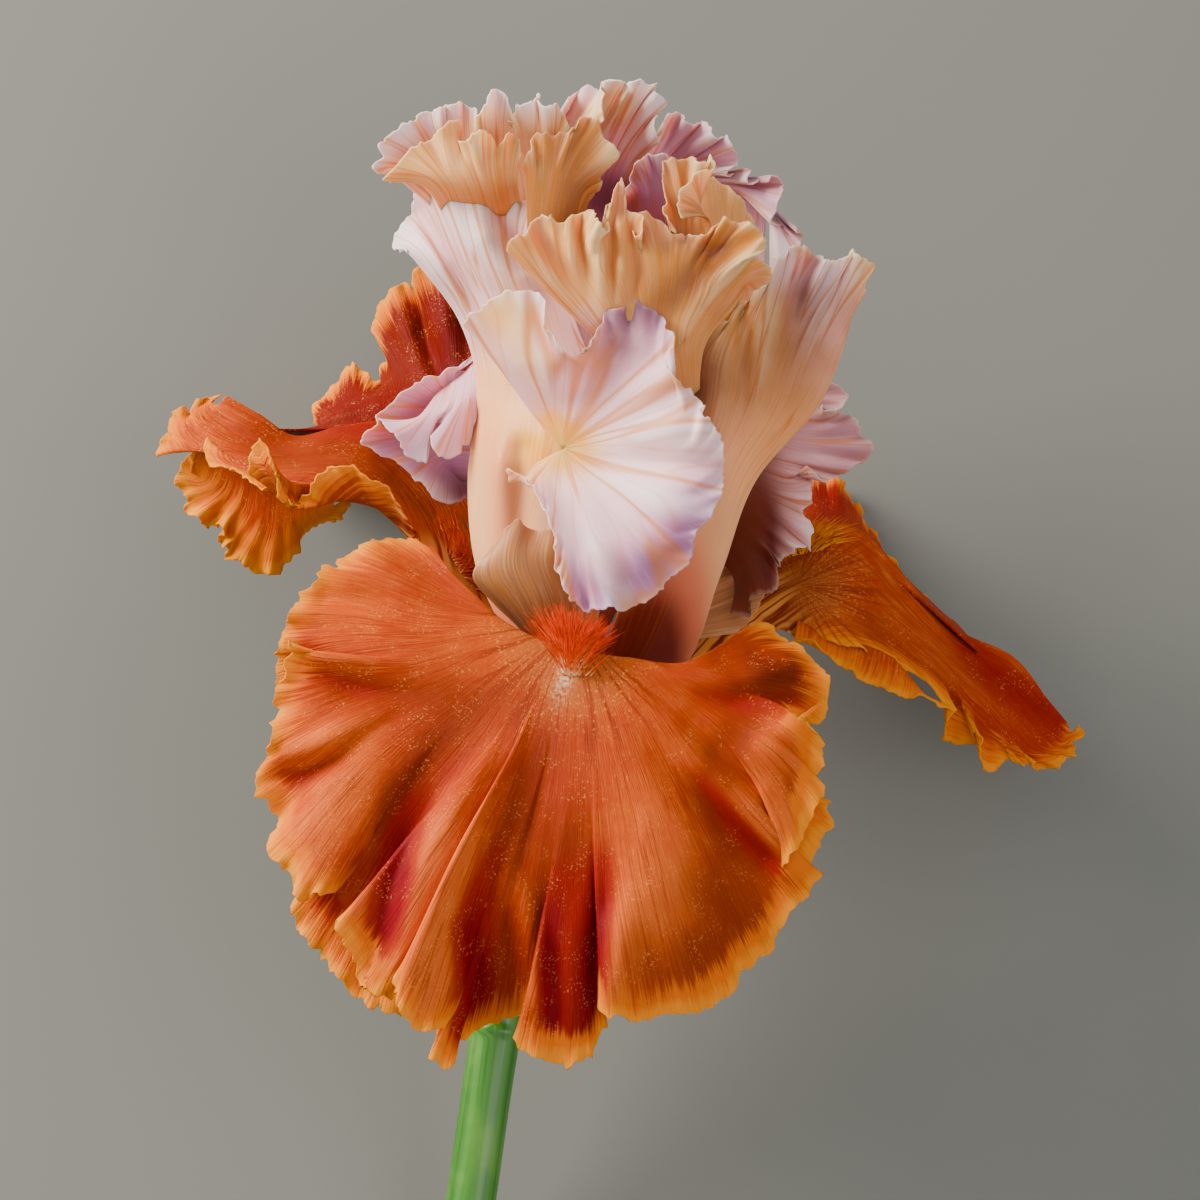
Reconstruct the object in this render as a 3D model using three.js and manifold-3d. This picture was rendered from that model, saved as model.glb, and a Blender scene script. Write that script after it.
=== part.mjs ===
// A tall bearded iris, picked and lying on its back, in millimetres.
// The petals are drawn in the flower's own frame: X across, Y up the stem, Z out of the bloom's front.
// The whole flower is then laid down, so that it rests on its back falls and the cut end of its stem.
import * as THREE from "three";
import { mergeVertices } from "three/addons/utils/BufferGeometryUtils.js";
import Module from "manifold-3d";

const wasm = await Module();
wasm.setup();

// Driving dimensions.
const PETAL = 0.8; // thickness of falls and standards
const STYLE = 0.8; // thickness of style arms
const BRACT = 0.7; // thickness of spathe bracts
const SEAT = 0.3; // gap between pieces that touch
const STEM_RADIUS = 4.3;
const COLLAR_RADIUS = 4.75; // the ring on the stem where the spathe starts
const COLLAR_HEIGHT = 1.6;
const OVARY_RADIUS = 5.0;
const TUBE_RADIUS = 5.9; // the perianth tube's top, which carries the petals
const TUBE_TOP = [-7.5, -13, 0];
const TUBE_AXIS = [0.19, 0.98, 0];
const OVARY_LENGTH = 38.7; // ovary and perianth tube together
const NARROWEST = 6; // a petal's width under which its folds lean no further
const PETAL_RING = 4.9; // radius at which the petals' roots stand on the tube
const STYLE_RING = 2.3; // radius at which the style arms' roots stand
const STAMEN_RING = 3.5;
const ROOT_HALF_ARC = 25; // degrees to each side, six petals round the ring
const LIE_TILT = 19.7; // degrees by which the bloom's top is raised from lying flat
const LIE_ROLL = -2.6; // degrees round the stem
const STEM_PATH = [
  [-25.6, -118, 0],
  [-22, -93.5, 0],
  [-17.7, -64.5, 0],
  [-14.9, -51.35, 0],
];

const COLOURS = {
  stem: "#3f8f1f",
  bract: "#4f9a34",
  ovary: "#5c9a3c",
  fall: "#c85a22",
  standard: "#e3c3cf",
  style: "#e2c9a4",
  beard: "#e8641c",
  stamen: "#e9dfb4",
};

const vec = (p) => new THREE.Vector3(p[0], p[1], p[2]);
const clamp01 = (x) => Math.min(Math.max(x, 0), 1);

// A smooth curve through points, with its parameter along the chord from 0 to 1.
function curveThrough(points) {
  const knots = [0];
  for (let i = 1; i < points.length; i++) {
    knots.push(knots[i - 1] + Math.max(points[i].distanceTo(points[i - 1]), 1e-6));
  }
  const last = points.length - 1;
  const slopes = points.map((_, i) => {
    const a = Math.max(i - 1, 0);
    const b = Math.min(i + 1, last);
    return points[b].clone().sub(points[a]).divideScalar(knots[b] - knots[a]);
  });
  return (t) => {
    const s = t * knots[last];
    let i = 0;
    while (i < last - 1 && s > knots[i + 1]) i++;
    const span = knots[i + 1] - knots[i];
    return hermite(points[i], slopes[i], points[i + 1], slopes[i + 1], (s - knots[i]) / span, span);
  };
}

function hermite(p, pSlope, q, qSlope, f, span) {
  const f2 = f * f;
  const f3 = f2 * f;
  return p
    .clone()
    .multiplyScalar(2 * f3 - 3 * f2 + 1)
    .addScaledVector(pSlope, (f3 - 2 * f2 + f) * span)
    .addScaledVector(q, 3 * f2 - 2 * f3)
    .addScaledVector(qSlope, (f3 - f2) * span);
}

// A row of a petal's net. With a middle point, the row's first half runs up to it and its second from it.
function rowCurve(row) {
  const points = row.points.map(vec);
  if (row.middle === undefined) return curveThrough(points);
  const first = curveThrough(points.slice(0, row.middle + 1));
  const second = curveThrough(points.slice(row.middle));
  return (u) => (u < 0.5 ? first(u * 2) : second(u * 2 - 1));
}

// A petal's smooth surface through its rows: u across, v from the root at 0 to the rim at 1.
function smoothSurface(rows) {
  const curves = rows.map(rowCurve);
  const last = curves.length - 1;
  return (u, v) => {
    const points = curves.map((curve) => curve(u));
    const slope = (i) => {
      const a = Math.max(i - 1, 0);
      const b = Math.min(i + 1, last);
      return points[b].clone().sub(points[a]).divideScalar(b - a);
    };
    const i = Math.min(Math.floor(v * last), last - 1);
    return hermite(points[i], slope(i), points[i + 1], slope(i + 1), v * last - i, 1);
  };
}

// The height of the folds at t, from a list of [place, height], with a level crest or trough at each.
function foldHeight(folds, t) {
  if (t <= folds[0][0]) return folds[0][1];
  for (let i = 1; i < folds.length; i++) {
    const [a, low] = folds[i - 1];
    const [b, high] = folds[i];
    if (t <= b) return low + ((high - low) * (1 - Math.cos((Math.PI * (t - a)) / (b - a)))) / 2;
  }
  return folds[folds.length - 1][1];
}

// How much of a fold is left at depth w, which is 0 at the rim and 1 at the far side of the petal.
const fade = (w, reach) => Math.pow(clamp01(1 - w / reach), 1.6);

// A steady curve through values at knots, which never turns back between two of them.
function steadyThrough(knots, values) {
  const rates = values.slice(1).map((value, i) => (value - values[i]) / (knots[i + 1] - knots[i]));
  const slopes = values.map((_, i) => {
    const before = rates[Math.max(i - 1, 0)];
    const after = rates[Math.min(i, rates.length - 1)];
    return before * after > 0 ? (2 * before * after) / (before + after) : 0;
  });
  return (t) => {
    let i = 0;
    while (i < knots.length - 2 && t > knots[i + 1]) i++;
    const span = knots[i + 1] - knots[i];
    const f = (t - knots[i]) / span;
    const f2 = f * f;
    const f3 = f2 * f;
    return (
      values[i] * (2 * f3 - 3 * f2 + 1) +
      slopes[i] * (f3 - 2 * f2 + f) * span +
      values[i + 1] * (3 * f2 - 2 * f3) +
      slopes[i + 1] * (f3 - f2) * span
    );
  };
}

// Places of points along their chord, from 0 to 1.
function chordKnots(points) {
  const knots = [0];
  for (let i = 1; i < points.length; i++) knots.push(knots[i - 1] + points[i].distanceTo(points[i - 1]));
  return knots.map((k) => k / knots[knots.length - 1]);
}

// The rim a petal is drawn out to. A rim lists [place, x, y, z, reach], or [place] where it stays on the
// smooth petal; an edge lists [x, y, z] and has its places in step with its length.
function drawnRim(petal, base) {
  if (petal.edge) {
    const targets = petal.edge.map(vec);
    const knots = chordKnots(targets);
    return { targets, knots, places: knots, reaches: knots.map(() => petal.reach ?? 0.45) };
  }
  const targets = petal.rim.map((entry) => (entry.length > 1 ? vec(entry.slice(1, 4)) : base(entry[0], 1)));
  const reaches = petal.rim.map((entry) => entry[4] ?? petal.reach ?? 0.45);
  return { targets, knots: chordKnots(targets), places: petal.rim.map((entry) => entry[0]), reaches };
}

// A petal with a drawn rim: each point is drawn out of the smooth petal, so that pleats can lap, and the
// pull fades with depth over its reach.
function drawnSurface(petal) {
  const base = smoothSurface(petal.rows);
  const rim = drawnRim(petal, base);
  const curve = curveThrough(rim.targets);
  const place = steadyThrough(rim.knots, rim.places);
  const reach = steadyThrough(rim.knots, rim.reaches);
  return (u, v) => {
    const b = clamp01(place(u));
    const pull = curve(u).sub(base(b, 1));
    return base(b, v).addScaledVector(pull, fade(1 - v, reach(u)));
  };
}

// The surface with folds that run in from the rim at v = 1 and lean over, as a ruffle's do.
function ruffledSurface(petal) {
  const base = smoothSurface(petal.rows);
  if (!petal.tip) return base;
  const step = 0.004;
  const lean = 0.7;
  const height = (u, v) => foldHeight(petal.tip, u) * fade(1 - v, petal.reach);
  return (u, v) => {
    const u0 = Math.max(u - step, 0);
    const u1 = Math.min(u + step, 1);
    const v0 = Math.max(v - step, 0);
    const v1 = Math.min(v + step, 1);
    const across = base(u1, v).sub(base(u0, v)).divideScalar(u1 - u0);
    const along = base(u, v1).sub(base(u, v0)).divideScalar(v1 - v0);
    const normal = across.clone().cross(along).normalize();
    const h = height(u, v);
    const slope = (height(u1, v) - height(u0, v)) / (u1 - u0) / Math.max(across.length(), NARROWEST);
    return base(u, v)
      .addScaledVector(normal, h)
      .addScaledVector(across.normalize(), -lean * h * slope);
  };
}

// Sample places from 0 to 1, closer together towards the end by the power given.
function places(count, power = 1) {
  return Array.from({ length: count + 1 }, (_, i) => 1 - Math.pow(1 - i / count, power));
}

// The places across a petal at which its solid is sampled.
function samplePlaces(petal) {
  if (petal.rim || petal.edge) return drawnRim(petal, smoothSurface(petal.rows)).knots;
  return places(petal.across);
}

// A closed blade of even thickness on a surface, both faces split into triangles alike.
function bladeGeometry(petal, thickness) {
  const drawn = petal.rim || petal.edge;
  const surface = drawn ? drawnSurface(petal) : ruffledSurface(petal);
  const us = samplePlaces(petal);
  const vs = places(petal.along, 1.3);
  const middle = vs.map((v) => us.map((u) => surface(u, v)));
  const rowsCount = vs.length;
  const columns = us.length;
  const top = rowsCount - 1;
  const end = columns - 1;
  const positions = [];
  const normals = middle.map((row, j) =>
    row.map((_, i) => {
      const left = row[Math.max(i - 1, 0)];
      const right = row[Math.min(i + 1, columns - 1)];
      const below = middle[Math.max(j - 1, 0)][i];
      const above = middle[Math.min(j + 1, rowsCount - 1)][i];
      return right.clone().sub(left).cross(above.clone().sub(below)).normalize();
    }),
  );
  for (const side of [thickness / 2, -thickness / 2]) {
    middle.forEach((row, j) =>
      row.forEach((p, i) => positions.push(...p.clone().addScaledVector(normals[j][i], side).toArray())),
    );
  }
  const at = (i, j, side) => side * rowsCount * columns + j * columns + i;
  const index = [];
  const quad = (a, b, c, d) => index.push(a, b, c, a, c, d);
  for (let j = 0; j < rowsCount - 1; j++) {
    for (let i = 0; i < columns - 1; i++) {
      index.push(at(i, j, 0), at(i + 1, j, 0), at(i + 1, j + 1, 0));
      index.push(at(i, j, 0), at(i + 1, j + 1, 0), at(i, j + 1, 0));
      index.push(at(i, j, 1), at(i + 1, j + 1, 1), at(i + 1, j, 1));
      index.push(at(i, j, 1), at(i, j + 1, 1), at(i + 1, j + 1, 1));
    }
  }
  for (let i = 0; i < columns - 1; i++) {
    quad(at(i, 0, 0), at(i, 0, 1), at(i + 1, 0, 1), at(i + 1, 0, 0));
    quad(at(i + 1, top, 0), at(i + 1, top, 1), at(i, top, 1), at(i, top, 0));
  }
  for (let j = 0; j < rowsCount - 1; j++) {
    quad(at(0, j + 1, 0), at(0, j + 1, 1), at(0, j, 1), at(0, j, 0));
    quad(at(end, j, 0), at(end, j, 1), at(end, j + 1, 1), at(end, j + 1, 0));
  }
  const geometry = new THREE.BufferGeometry();
  geometry.setAttribute("position", new THREE.Float32BufferAttribute(positions, 3));
  geometry.setIndex(index);
  return geometry;
}

// A solid for joining, from a closed geometry.
function solid(geometry) {
  const bare = geometry.clone();
  bare.deleteAttribute("normal");
  bare.deleteAttribute("uv");
  const merged = mergeVertices(bare, 1e-4);
  return new wasm.Manifold(
    new wasm.Mesh({
      numProp: 3,
      vertProperties: new Float32Array(merged.attributes.position.array),
      triVerts: new Uint32Array(merged.index.array),
    }),
  );
}

function geometryOf(body) {
  const mesh = body.getMesh();
  const geometry = new THREE.BufferGeometry();
  geometry.setAttribute("position", new THREE.BufferAttribute(new Float32Array(mesh.vertProperties), 3));
  geometry.setIndex(new THREE.BufferAttribute(new Uint32Array(mesh.triVerts), 1));
  return geometry;
}

// Several closed geometries joined in one body, without the crumbs that a join can leave.
function fused(geometries) {
  const joined = geometries.map(solid).reduce((all, next) => all.add(next));
  const bodies = joined.decompose().sort((a, b) => b.volume() - a.volume());
  return geometryOf(bodies[0]);
}

// The tube's own directions: along it, to the right, and to the front.
const tubeUp = vec(TUBE_AXIS).normalize();
const tubeFront = new THREE.Vector3(0, 0, 1);
const tubeRight = tubeUp.clone().cross(tubeFront).normalize();

// A place over the tube's top: degrees round from the front towards the right, and the height above it.
function onTube(degrees, radius, height) {
  const angle = THREE.MathUtils.degToRad(degrees);
  return vec(TUBE_TOP)
    .addScaledVector(tubeRight, radius * Math.sin(angle))
    .addScaledVector(tubeFront, radius * Math.cos(angle))
    .addScaledVector(tubeUp, height);
}

// The row where a petal stands on the tube, from one side of its arc to the other.
function rootRow(degrees, radius, halfArc) {
  const height = SEAT + PETAL / 2;
  const points = [-1, 0, 1].map((side) => onTube(degrees + side * halfArc, radius, height).toArray());
  return { middle: 1, points };
}

// One place where a petal stands on the tube.
const rootAt = (degrees) => onTube(degrees, PETAL_RING, SEAT + PETAL / 2).toArray();

const row = (...points) => ({ points });
const rowAbout = (middle, ...points) => ({ middle, points });

// The front fall: from the tube over the heart under the beard, then fanned out down the front.
const fallFront = [
  {
    along: 6,
    reach: 0.3,
    rows: [
      rootRow(0, PETAL_RING, ROOT_HALF_ARC),
      rowAbout(1, [-12.5, -5, 10], [-7, -7.5, 12], [-1.5, -5, 10]),
      rowAbout(1, [-14.5, 1, 18.5], [-6, -3, 22], [3, -1.5, 18.5]),
      rowAbout(2, [-18, 6, 24.5], [-11, 1, 28.5], [-5, -1.5, 30], [3, -2, 29], [13, -2.5, 25]),
      rowAbout(
        4,
        [-25, 13, 21],
        [-28, 4, 28],
        [-24, -9, 35],
        [-14, -17, 38.5],
        [-5, -19, 40],
        [5, -17, 38.5],
        [16, -12, 33.5],
        [22, -5, 28],
        [20, 0.5, 23],
      ),
      rowAbout(
        6,
        [-28, 17, 17],
        [-38, 11, 24],
        [-42, 0, 30],
        [-41, -14, 35],
        [-34, -28, 39],
        [-21, -38, 43],
        [-6, -41, 45.5],
        [8, -39, 44],
        [19, -33, 40],
        [27, -23, 36],
        [30.5, -11, 31],
        [29, -2, 26],
        [24, 3.5, 20],
      ),
      rowAbout(
        15,
        [-30, 19, 13],
        [-36, 18.5, 17],
        [-42, 15.5, 20],
        [-48, 10, 24],
        [-53, 3, 27],
        [-54.5, -6, 30],
        [-55.5, -16, 32],
        [-56, -26, 33],
        [-54, -36, 34],
        [-50, -45, 35],
        [-44, -53, 37],
        [-37, -59.5, 39],
        [-30, -63, 41],
        [-22, -64, 43],
        [-13, -63.5, 45],
        [-5, -63.5, 46],
        [3, -61.5, 45],
        [12, -60.5, 43],
        [20, -57, 40],
        [27, -50, 37],
        [33, -43, 35],
        [36.5, -35, 32],
        [38, -26, 30],
        [37.5, -17, 28],
        [37.5, -9, 26],
        [36, -3, 23],
        [31, 1.5, 19],
        [26, 4.5, 16],
      ),
    ],
    rim: [
      [0, -30, 19, 13],
      [0.03, -38, 19, 18],
      [0.055, -43.5, 15.5, 19],
      [0.08, -47.5, 12.5, 24],
      [0.105, -50.5, 9, 25],
      [0.13, -53.5, 3.5, 24],
      [0.15, -54.8, -3, 22.5],
      [0.16, -54, -9, 22.5],
      [0.165, -51, -6, 24.5],
      [0.175, -51.5, 1.5, 30.5],
      [0.19, -54, -7, 31.5],
      [0.21, -55.5, -16, 32],
      [0.228, -57.8, -23.5, 34.5],
      [0.24, -54.5, -27, 32],
      [0.255, -55, -34, 34.5],
      [0.268, -52, -37.5, 36],
      [0.277, -50, -41, 38],
      [0.287, -46.5, -40.5, 39],
      [0.293, -43, -39.5, 38],
      [0.298, -43, -42, 33.5],
      [0.303, -48.5, -40.5, 31.5],
      [0.308, -51.5, -43, 32],
      [0.32, -49.5, -48.5, 34],
      [0.332, -46, -52, 35],
      [0.345, -41.5, -57, 36],
      [0.355, -37, -60, 36.5],
      [0.36, -33, -60.5, 37],
      [0.362, -32, -57, 38.5],
      [0.364, -38, -50, 40],
      [0.368, -43.7, -45.5, 44.5, 0.38],
      [0.376, -42, -49, 44.5, 0.36],
      [0.384, -40.5, -54, 44],
      [0.39, -37, -57, 44],
      [0.396, -33.5, -57.5, 43],
      [0.399, -30, -55, 41.5],
      [0.402, -32, -52, 43.5, 0.36],
      [0.406, -34, -56.5, 48, 0.42],
      [0.415, -31, -62, 47.5, 0.38],
      [0.43, -26, -62.7, 46],
      [0.437, -24.6, -62, 43.5],
      [0.441, -26.5, -65, 43],
      [0.444, -28.6, -67, 43.5],
      [0.447, -25.6, -69.3, 43],
      [0.451, -23.5, -64.8, 41.5],
      [0.462, -19.5, -63, 39.5, 0.38],
      [0.475, -14.5, -61.3, 40],
      [0.487, -8.5, -58.8, 42.5],
      [0.493, -10, -60, 46],
      [0.497, -14, -64.5, 47.5],
      [0.503, -11.5, -67.5, 47.5],
      [0.51, -8, -68.6, 46.5],
      [0.518, -4.5, -68.6, 45.5],
      [0.525, -2.2, -67, 45],
      [0.531, 0, -63.5, 43.5],
      [0.537, 2.8, -60, 41],
      [0.541, 3.2, -57.5, 42.5],
      [0.547, 0.3, -59.5, 47, 0.36],
      [0.56, 5, -61.2, 47],
      [0.59, 11, -60.8, 45],
      [0.62, 17, -60, 43],
      [0.645, 21.5, -57, 41],
      [0.665, 24.5, -53, 40],
      [0.69, 28.5, -50, 39],
      [0.71, 31, -45, 38],
      [0.73, 34, -41, 36.5],
      [0.75, 36.8, -38, 35],
      [0.764, 33.5, -36.3, 33],
      [0.768, 36, -34, 31],
      [0.78, 38.8, -29, 30],
      [0.788, 38.3, -25.5, 30.5],
      [0.793, 34.5, -28, 32.5],
      [0.8, 31.5, -35.8, 37, 0.36],
      [0.81, 34, -31, 36.5],
      [0.82, 35.5, -27.5, 36],
      [0.83, 38, -23.5, 35],
      [0.84, 35.3, -21.8, 33.5],
      [0.845, 33.8, -20.6, 33],
      [0.85, 36.5, -20.3, 33.5],
      [0.86, 37.9, -17, 33],
      [0.87, 36.3, -13.8, 32],
      [0.88, 33, -11.6, 31.5],
      [0.885, 30.5, -14.5, 28],
      [0.89, 33.5, -13, 25.5],
      [0.9, 37.3, -11, 25],
      [0.92, 39, -7, 25],
      [0.935, 38, -3.5, 24],
      [0.955, 34.5, -0.5, 22],
      [0.97, 32.5, 1.5, 20],
      [0.985, 29, 3.8, 18],
      [1, 26, 4.5, 16],
    ],
  },
];

// The left fall: its rows run from the tube to the tip, from the far side of the midrib to the near rim,
// which is turned back along the haft. A lobe hangs behind the tip, and the far half stands behind.
const fallLeft = [
  {
    along: 5,
    reach: 0.3,
    rows: [
      row(rootAt(-145), [-12, -1, -9], [-16, 13, -14], [-25, 30, -24], [-37, 39, -28], [-45, 38.5, -24],
        [-53, 36.8, -20], [-59, 40.5, -21], [-65, 44, -22.5]),
      row(rootAt(-128), [-14, -2.5, -7], [-19.5, 9, -10.5], [-28, 24, -15], [-39, 33, -17], [-48, 34, -15],
        [-56, 35, -16], [-62, 38.5, -18.5], [-66, 42.5, -22]),
      row(rootAt(-112), [-15, -4, -5], [-21, 7, -8], [-29, 19, -9], [-39, 28.5, -8], [-48, 30.5, -7],
        [-56, 31.5, -11], [-64, 36, -17], [-68, 39, -20.5], [-67, 42.5, -22.5]),
      row(rootAt(-99), [-15.3, -5, -3.5], [-22, 5.5, -6.5], [-31.5, 17.5, -6], [-38, 24.3, -2.5],
        [-44, 25.6, -1], [-50, 24.8, -1], [-56, 28, -7], [-64, 33, -14], [-71, 36, -20], [-72, 39.5, -22],
        [-67.5, 43, -23]),
      row(rootAt(-95), [-15.5, -6, -2.5], [-22.5, 4, -5], [-31, 20, -2], [-36, 27, 1.5], [-43, 31.5, 2.5],
        [-50, 27, 1], [-56, 27, -4], [-66, 32.5, -15], [-76.5, 35, -22], [-74, 40, -23], [-67, 44, -24]),
    ],
    rim: [
      [0],
      [0.1],
      [0.22],
      [0.3, -29.5, 16.5, -4.5],
      [0.325, -32.7, 19.3, -1.5],
      [0.34, -31.2, 20.6, -0.5],
      [0.365, -33, 23, 0.5],
      [0.4, -36, 27, 1.5],
      [0.43, -38.5, 29.2, 2],
      [0.465, -41.5, 30.8, 2.2],
      [0.49, -44, 31.6, 2.2],
      [0.515, -46.5, 30.8, 2.2],
      [0.54, -49, 28, 1.8],
      [0.56, -51.5, 25.2, 0],
      [0.575, -53.5, 24.8, 0.5],
      [0.59, -55.2, 26, 1],
      [0.6, -55, 28.8, 1.5],
      [0.61, -56.5, 32, 2.5],
      [0.62, -58.2, 36, 3.5, 0.5],
      [0.63, -59.3, 34.5, 0],
      [0.64, -60.3, 32, -2],
      [0.65, -59, 30.5, -4],
      [0.66, -56.5, 29.5, -6],
      [0.67, -58, 27, -3.5],
      [0.69, -61, 29.3, -8],
      [0.73, -64.5, 31.6, -12],
      [0.77, -68.2, 33.4, -15.5],
      [0.785, -68.2, 36, -18],
      [0.8, -70, 35.4, -20],
      [0.84, -73.5, 34.6, -21.5],
      [0.875, -76.7, 34, -22],
      [0.885, -76.4, 36.2, -22.5],
      [0.9, -75, 38, -22],
      [0.92, -74.6, 40.2, -23.5],
      [0.94, -72.6, 42.4, -23],
      [0.955, -71, 41.2, -24.5],
      [0.97, -69.5, 43, -23.5],
      [0.985, -67.8, 43.8, -24.5],
      [1, -66, 44.6, -24],
    ],
  },
  {
    along: 3,
    reach: 0.5,
    rows: [
      row([-69, 37, -20], [-62, 35, -16], [-55, 31, -11], [-45, 28, -7]),
      row([-71, 31, -24], [-64, 27, -22], [-56, 23, -18], [-46, 24.5, -12]),
      row([-71, 34, -23], [-73, 27, -28], [-68, 21, -29], [-61.5, 15, -28.5], [-55, 15, -25], [-50, 20, -21],
        [-44, 25, -15]),
    ],
    edge: [
      [-70, 35, -21],
      [-72.3, 32.5, -24],
      [-73.6, 28.6, -26],
      [-71.8, 26.8, -26.5],
      [-72.6, 24, -28],
      [-70, 22.5, -26],
      [-69, 21.3, -28.5],
      [-66.2, 21.5, -25],
      [-66.6, 18.8, -28],
      [-64.8, 17.6, -26.5],
      [-65.2, 15.8, -29],
      [-62.3, 15.2, -26.5],
      [-60.8, 13.2, -29],
      [-57.5, 13.2, -26],
      [-55.5, 14.3, -27],
      [-53.3, 15.8, -24],
      [-51.6, 18.8, -25],
      [-50.8, 20.8, -22],
      [-48, 21.5, -22],
      [-45, 22.6, -18],
      [-43.2, 23.7, -18],
      [-43.5, 26, -13],
    ],
  },
  {
    along: 3,
    reach: 0.45,
    rows: [
      row([-24, 30, -22], [-36, 38, -27.5], [-46, 38, -23.5], [-56, 38, -19.5]),
      row([-22, 46, -34], [-33, 46, -40], [-43, 42, -40], [-53, 37, -33]),
      row([-20, 57, -43], [-30, 64, -48], [-38, 59, -53], [-40, 50, -56], [-46, 47, -58], [-51, 41, -58],
        [-58, 35, -45]),
    ],
    edge: [
      [-21, 58, -42],
      [-24, 62, -44],
      [-27, 65.5, -43],
      [-31, 67.6, -45],
      [-33.3, 65.3, -46],
      [-32, 63.3, -50],
      [-34.5, 64.8, -52],
      [-38, 62.3, -51],
      [-39.7, 59, -54],
      [-40, 55, -52],
      [-37.3, 52.3, -54],
      [-38.7, 48.3, -57],
      [-36.5, 46.8, -56],
      [-39.7, 47.8, -51],
      [-42, 49.6, -53],
      [-44.3, 50, -55],
      [-46.3, 48, -57],
      [-47.3, 45.8, -56],
      [-50.2, 44.3, -59],
      [-50.7, 41, -57],
      [-50, 38.2, -59],
      [-54, 36, -55],
      [-59, 34, -44],
    ],
  },
];

// The right fall: rows from the tube to the tip, from the far side to the near rim, with a free ruffle
// along the near rim and the far half behind.
const fallRight = [
  {
    along: 5,
    reach: 0.3,
    rows: [
      row(rootAt(145), [4.5, -2.5, -10.5], [14, 9, -18], [31, 19, -24.5], [44, 21, -25.5], [53, 12.5, -27],
        [61, 3.8, -28], [72, -1.5, -30], [79, -10, -31], [81.5, -13, -31]),
      row(rootAt(128), [3.8, -5.5, -8.5], [14.8, 4, -14.5], [29.5, 14, -19], [41, 15.5, -18], [50, 8, -19],
        [59, 1, -22], [69.5, -5.5, -25.5], [78, -12.5, -29], [82, -14, -30.5]),
      row(rootAt(112), [3.2, -6.5, -7], [14, 0.5, -11.5], [28, 9, -14], [38, 7, -11.5], [47.5, 2.5, -12.5],
        [57, -2.5, -16], [66.5, -10, -20], [74, -16.5, -25], [79, -17, -28], [82.5, -14.5, -30.5]),
      row(rootAt(95), [1.5, -7.5, -4], [12, -4, -8], [26, 3.5, -11], [36, 1.5, -9], [44, 0, -9],
        [51, -1.5, -11], [56, -5.5, -13], [61, -11, -15], [66, -18, -20], [74, -20.5, -25], [80, -19, -28],
        [84, -14, -31]),
    ],
    rim: [
      [0],
      [0.1],
      [0.22],
      [0.33],
      [0.42],
      [0.5],
      [0.56],
      [0.62],
      [0.68, 60, -9.3, -13.2],
      [0.695, 61.5, -11, -16.5],
      [0.7, 60, -13.5, -18.5],
      [0.71, 60.2, -16.3, -20],
      [0.72, 63, -16.3, -21],
      [0.73, 65.5, -16.8, -20.5],
      [0.738, 64.5, -14, -16],
      [0.75, 66.8, -16, -15.5],
      [0.77, 66.6, -19.5, -18.5],
      [0.785, 68, -21.6, -20.5],
      [0.8, 70, -20.2, -22.5],
      [0.82, 72.5, -19.7, -21],
      [0.84, 74, -20.6, -25],
      [0.86, 75.8, -19.6, -23.5],
      [0.875, 77, -21.2, -27.5],
      [0.9, 80, -20.5, -26],
      [0.92, 81, -19, -29.5],
      [0.94, 83.2, -18.6, -28],
      [0.955, 82.6, -17, -31],
      [0.975, 84.5, -15, -29.5],
      [1, 84, -13, -31],
    ],
  },
  {
    along: 3,
    reach: 0.7,
    rows: [
      row([34, 5, -10], [40, 2, -9.5], [46, 0.5, -9.7], [50, -1.3, -10], [53, -4.3, -10.5], [56, -7.8, -12],
        [60.5, -9.8, -14.5]),
      row([33.5, 2, -7.5], [40, -1, -7], [46, -3, -6.8], [50, -4.5, -7.5], [53.5, -6.8, -8.5],
        [57, -8.6, -10.5], [60.5, -10.2, -14]),
      row([33, 0, -7], [39, -1, -5.5], [47, -6, -5], [54, -8.2, -7], [60.5, -10.6, -13.5]),
    ],
    edge: [
      [33, 1, -7],
      [36.5, 1.5, -5],
      [38.5, -0.5, -4.5],
      [41.5, -3, -6],
      [44.5, -4.5, -4],
      [47, -6.3, -5.5],
      [50, -7.2, -4.5],
      [53, -8.3, -7],
      [55, -7.8, -7],
      [57, -8.8, -10],
      [60.5, -10.6, -13.8],
    ],
  },
  {
    along: 3,
    reach: 0.45,
    rows: [
      row([24, 14, -19.5], [38, 19.5, -22], [52, 11.5, -24], [66, -0.5, -26]),
      row([24, 22, -35], [38, 23.5, -38], [52, 13, -40], [66, 1, -35]),
      row([20, 22, -49], [28, 27, -54], [36, 30.5, -57], [41.5, 30.2, -58], [45, 27, -58], [48.5, 21, -56],
        [53, 14, -53], [60, 7, -48], [68, 0, -40]),
    ],
    edge: [
      [20, 22, -49],
      [27, 26.5, -53],
      [34, 30, -57],
      [37, 30.6, -54],
      [40, 30.5, -58],
      [42.3, 29.5, -56],
      [44, 28, -59],
      [45.8, 25.3, -57],
      [45.6, 23, -55],
      [47.6, 21.8, -57.5],
      [49.4, 19.5, -55],
      [50, 17, -53],
      [52.3, 14.8, -54],
      [54, 12, -50],
      [59, 6.5, -49],
      [64, 2, -42],
      [68, -1, -38],
    ],
  },
];

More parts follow.
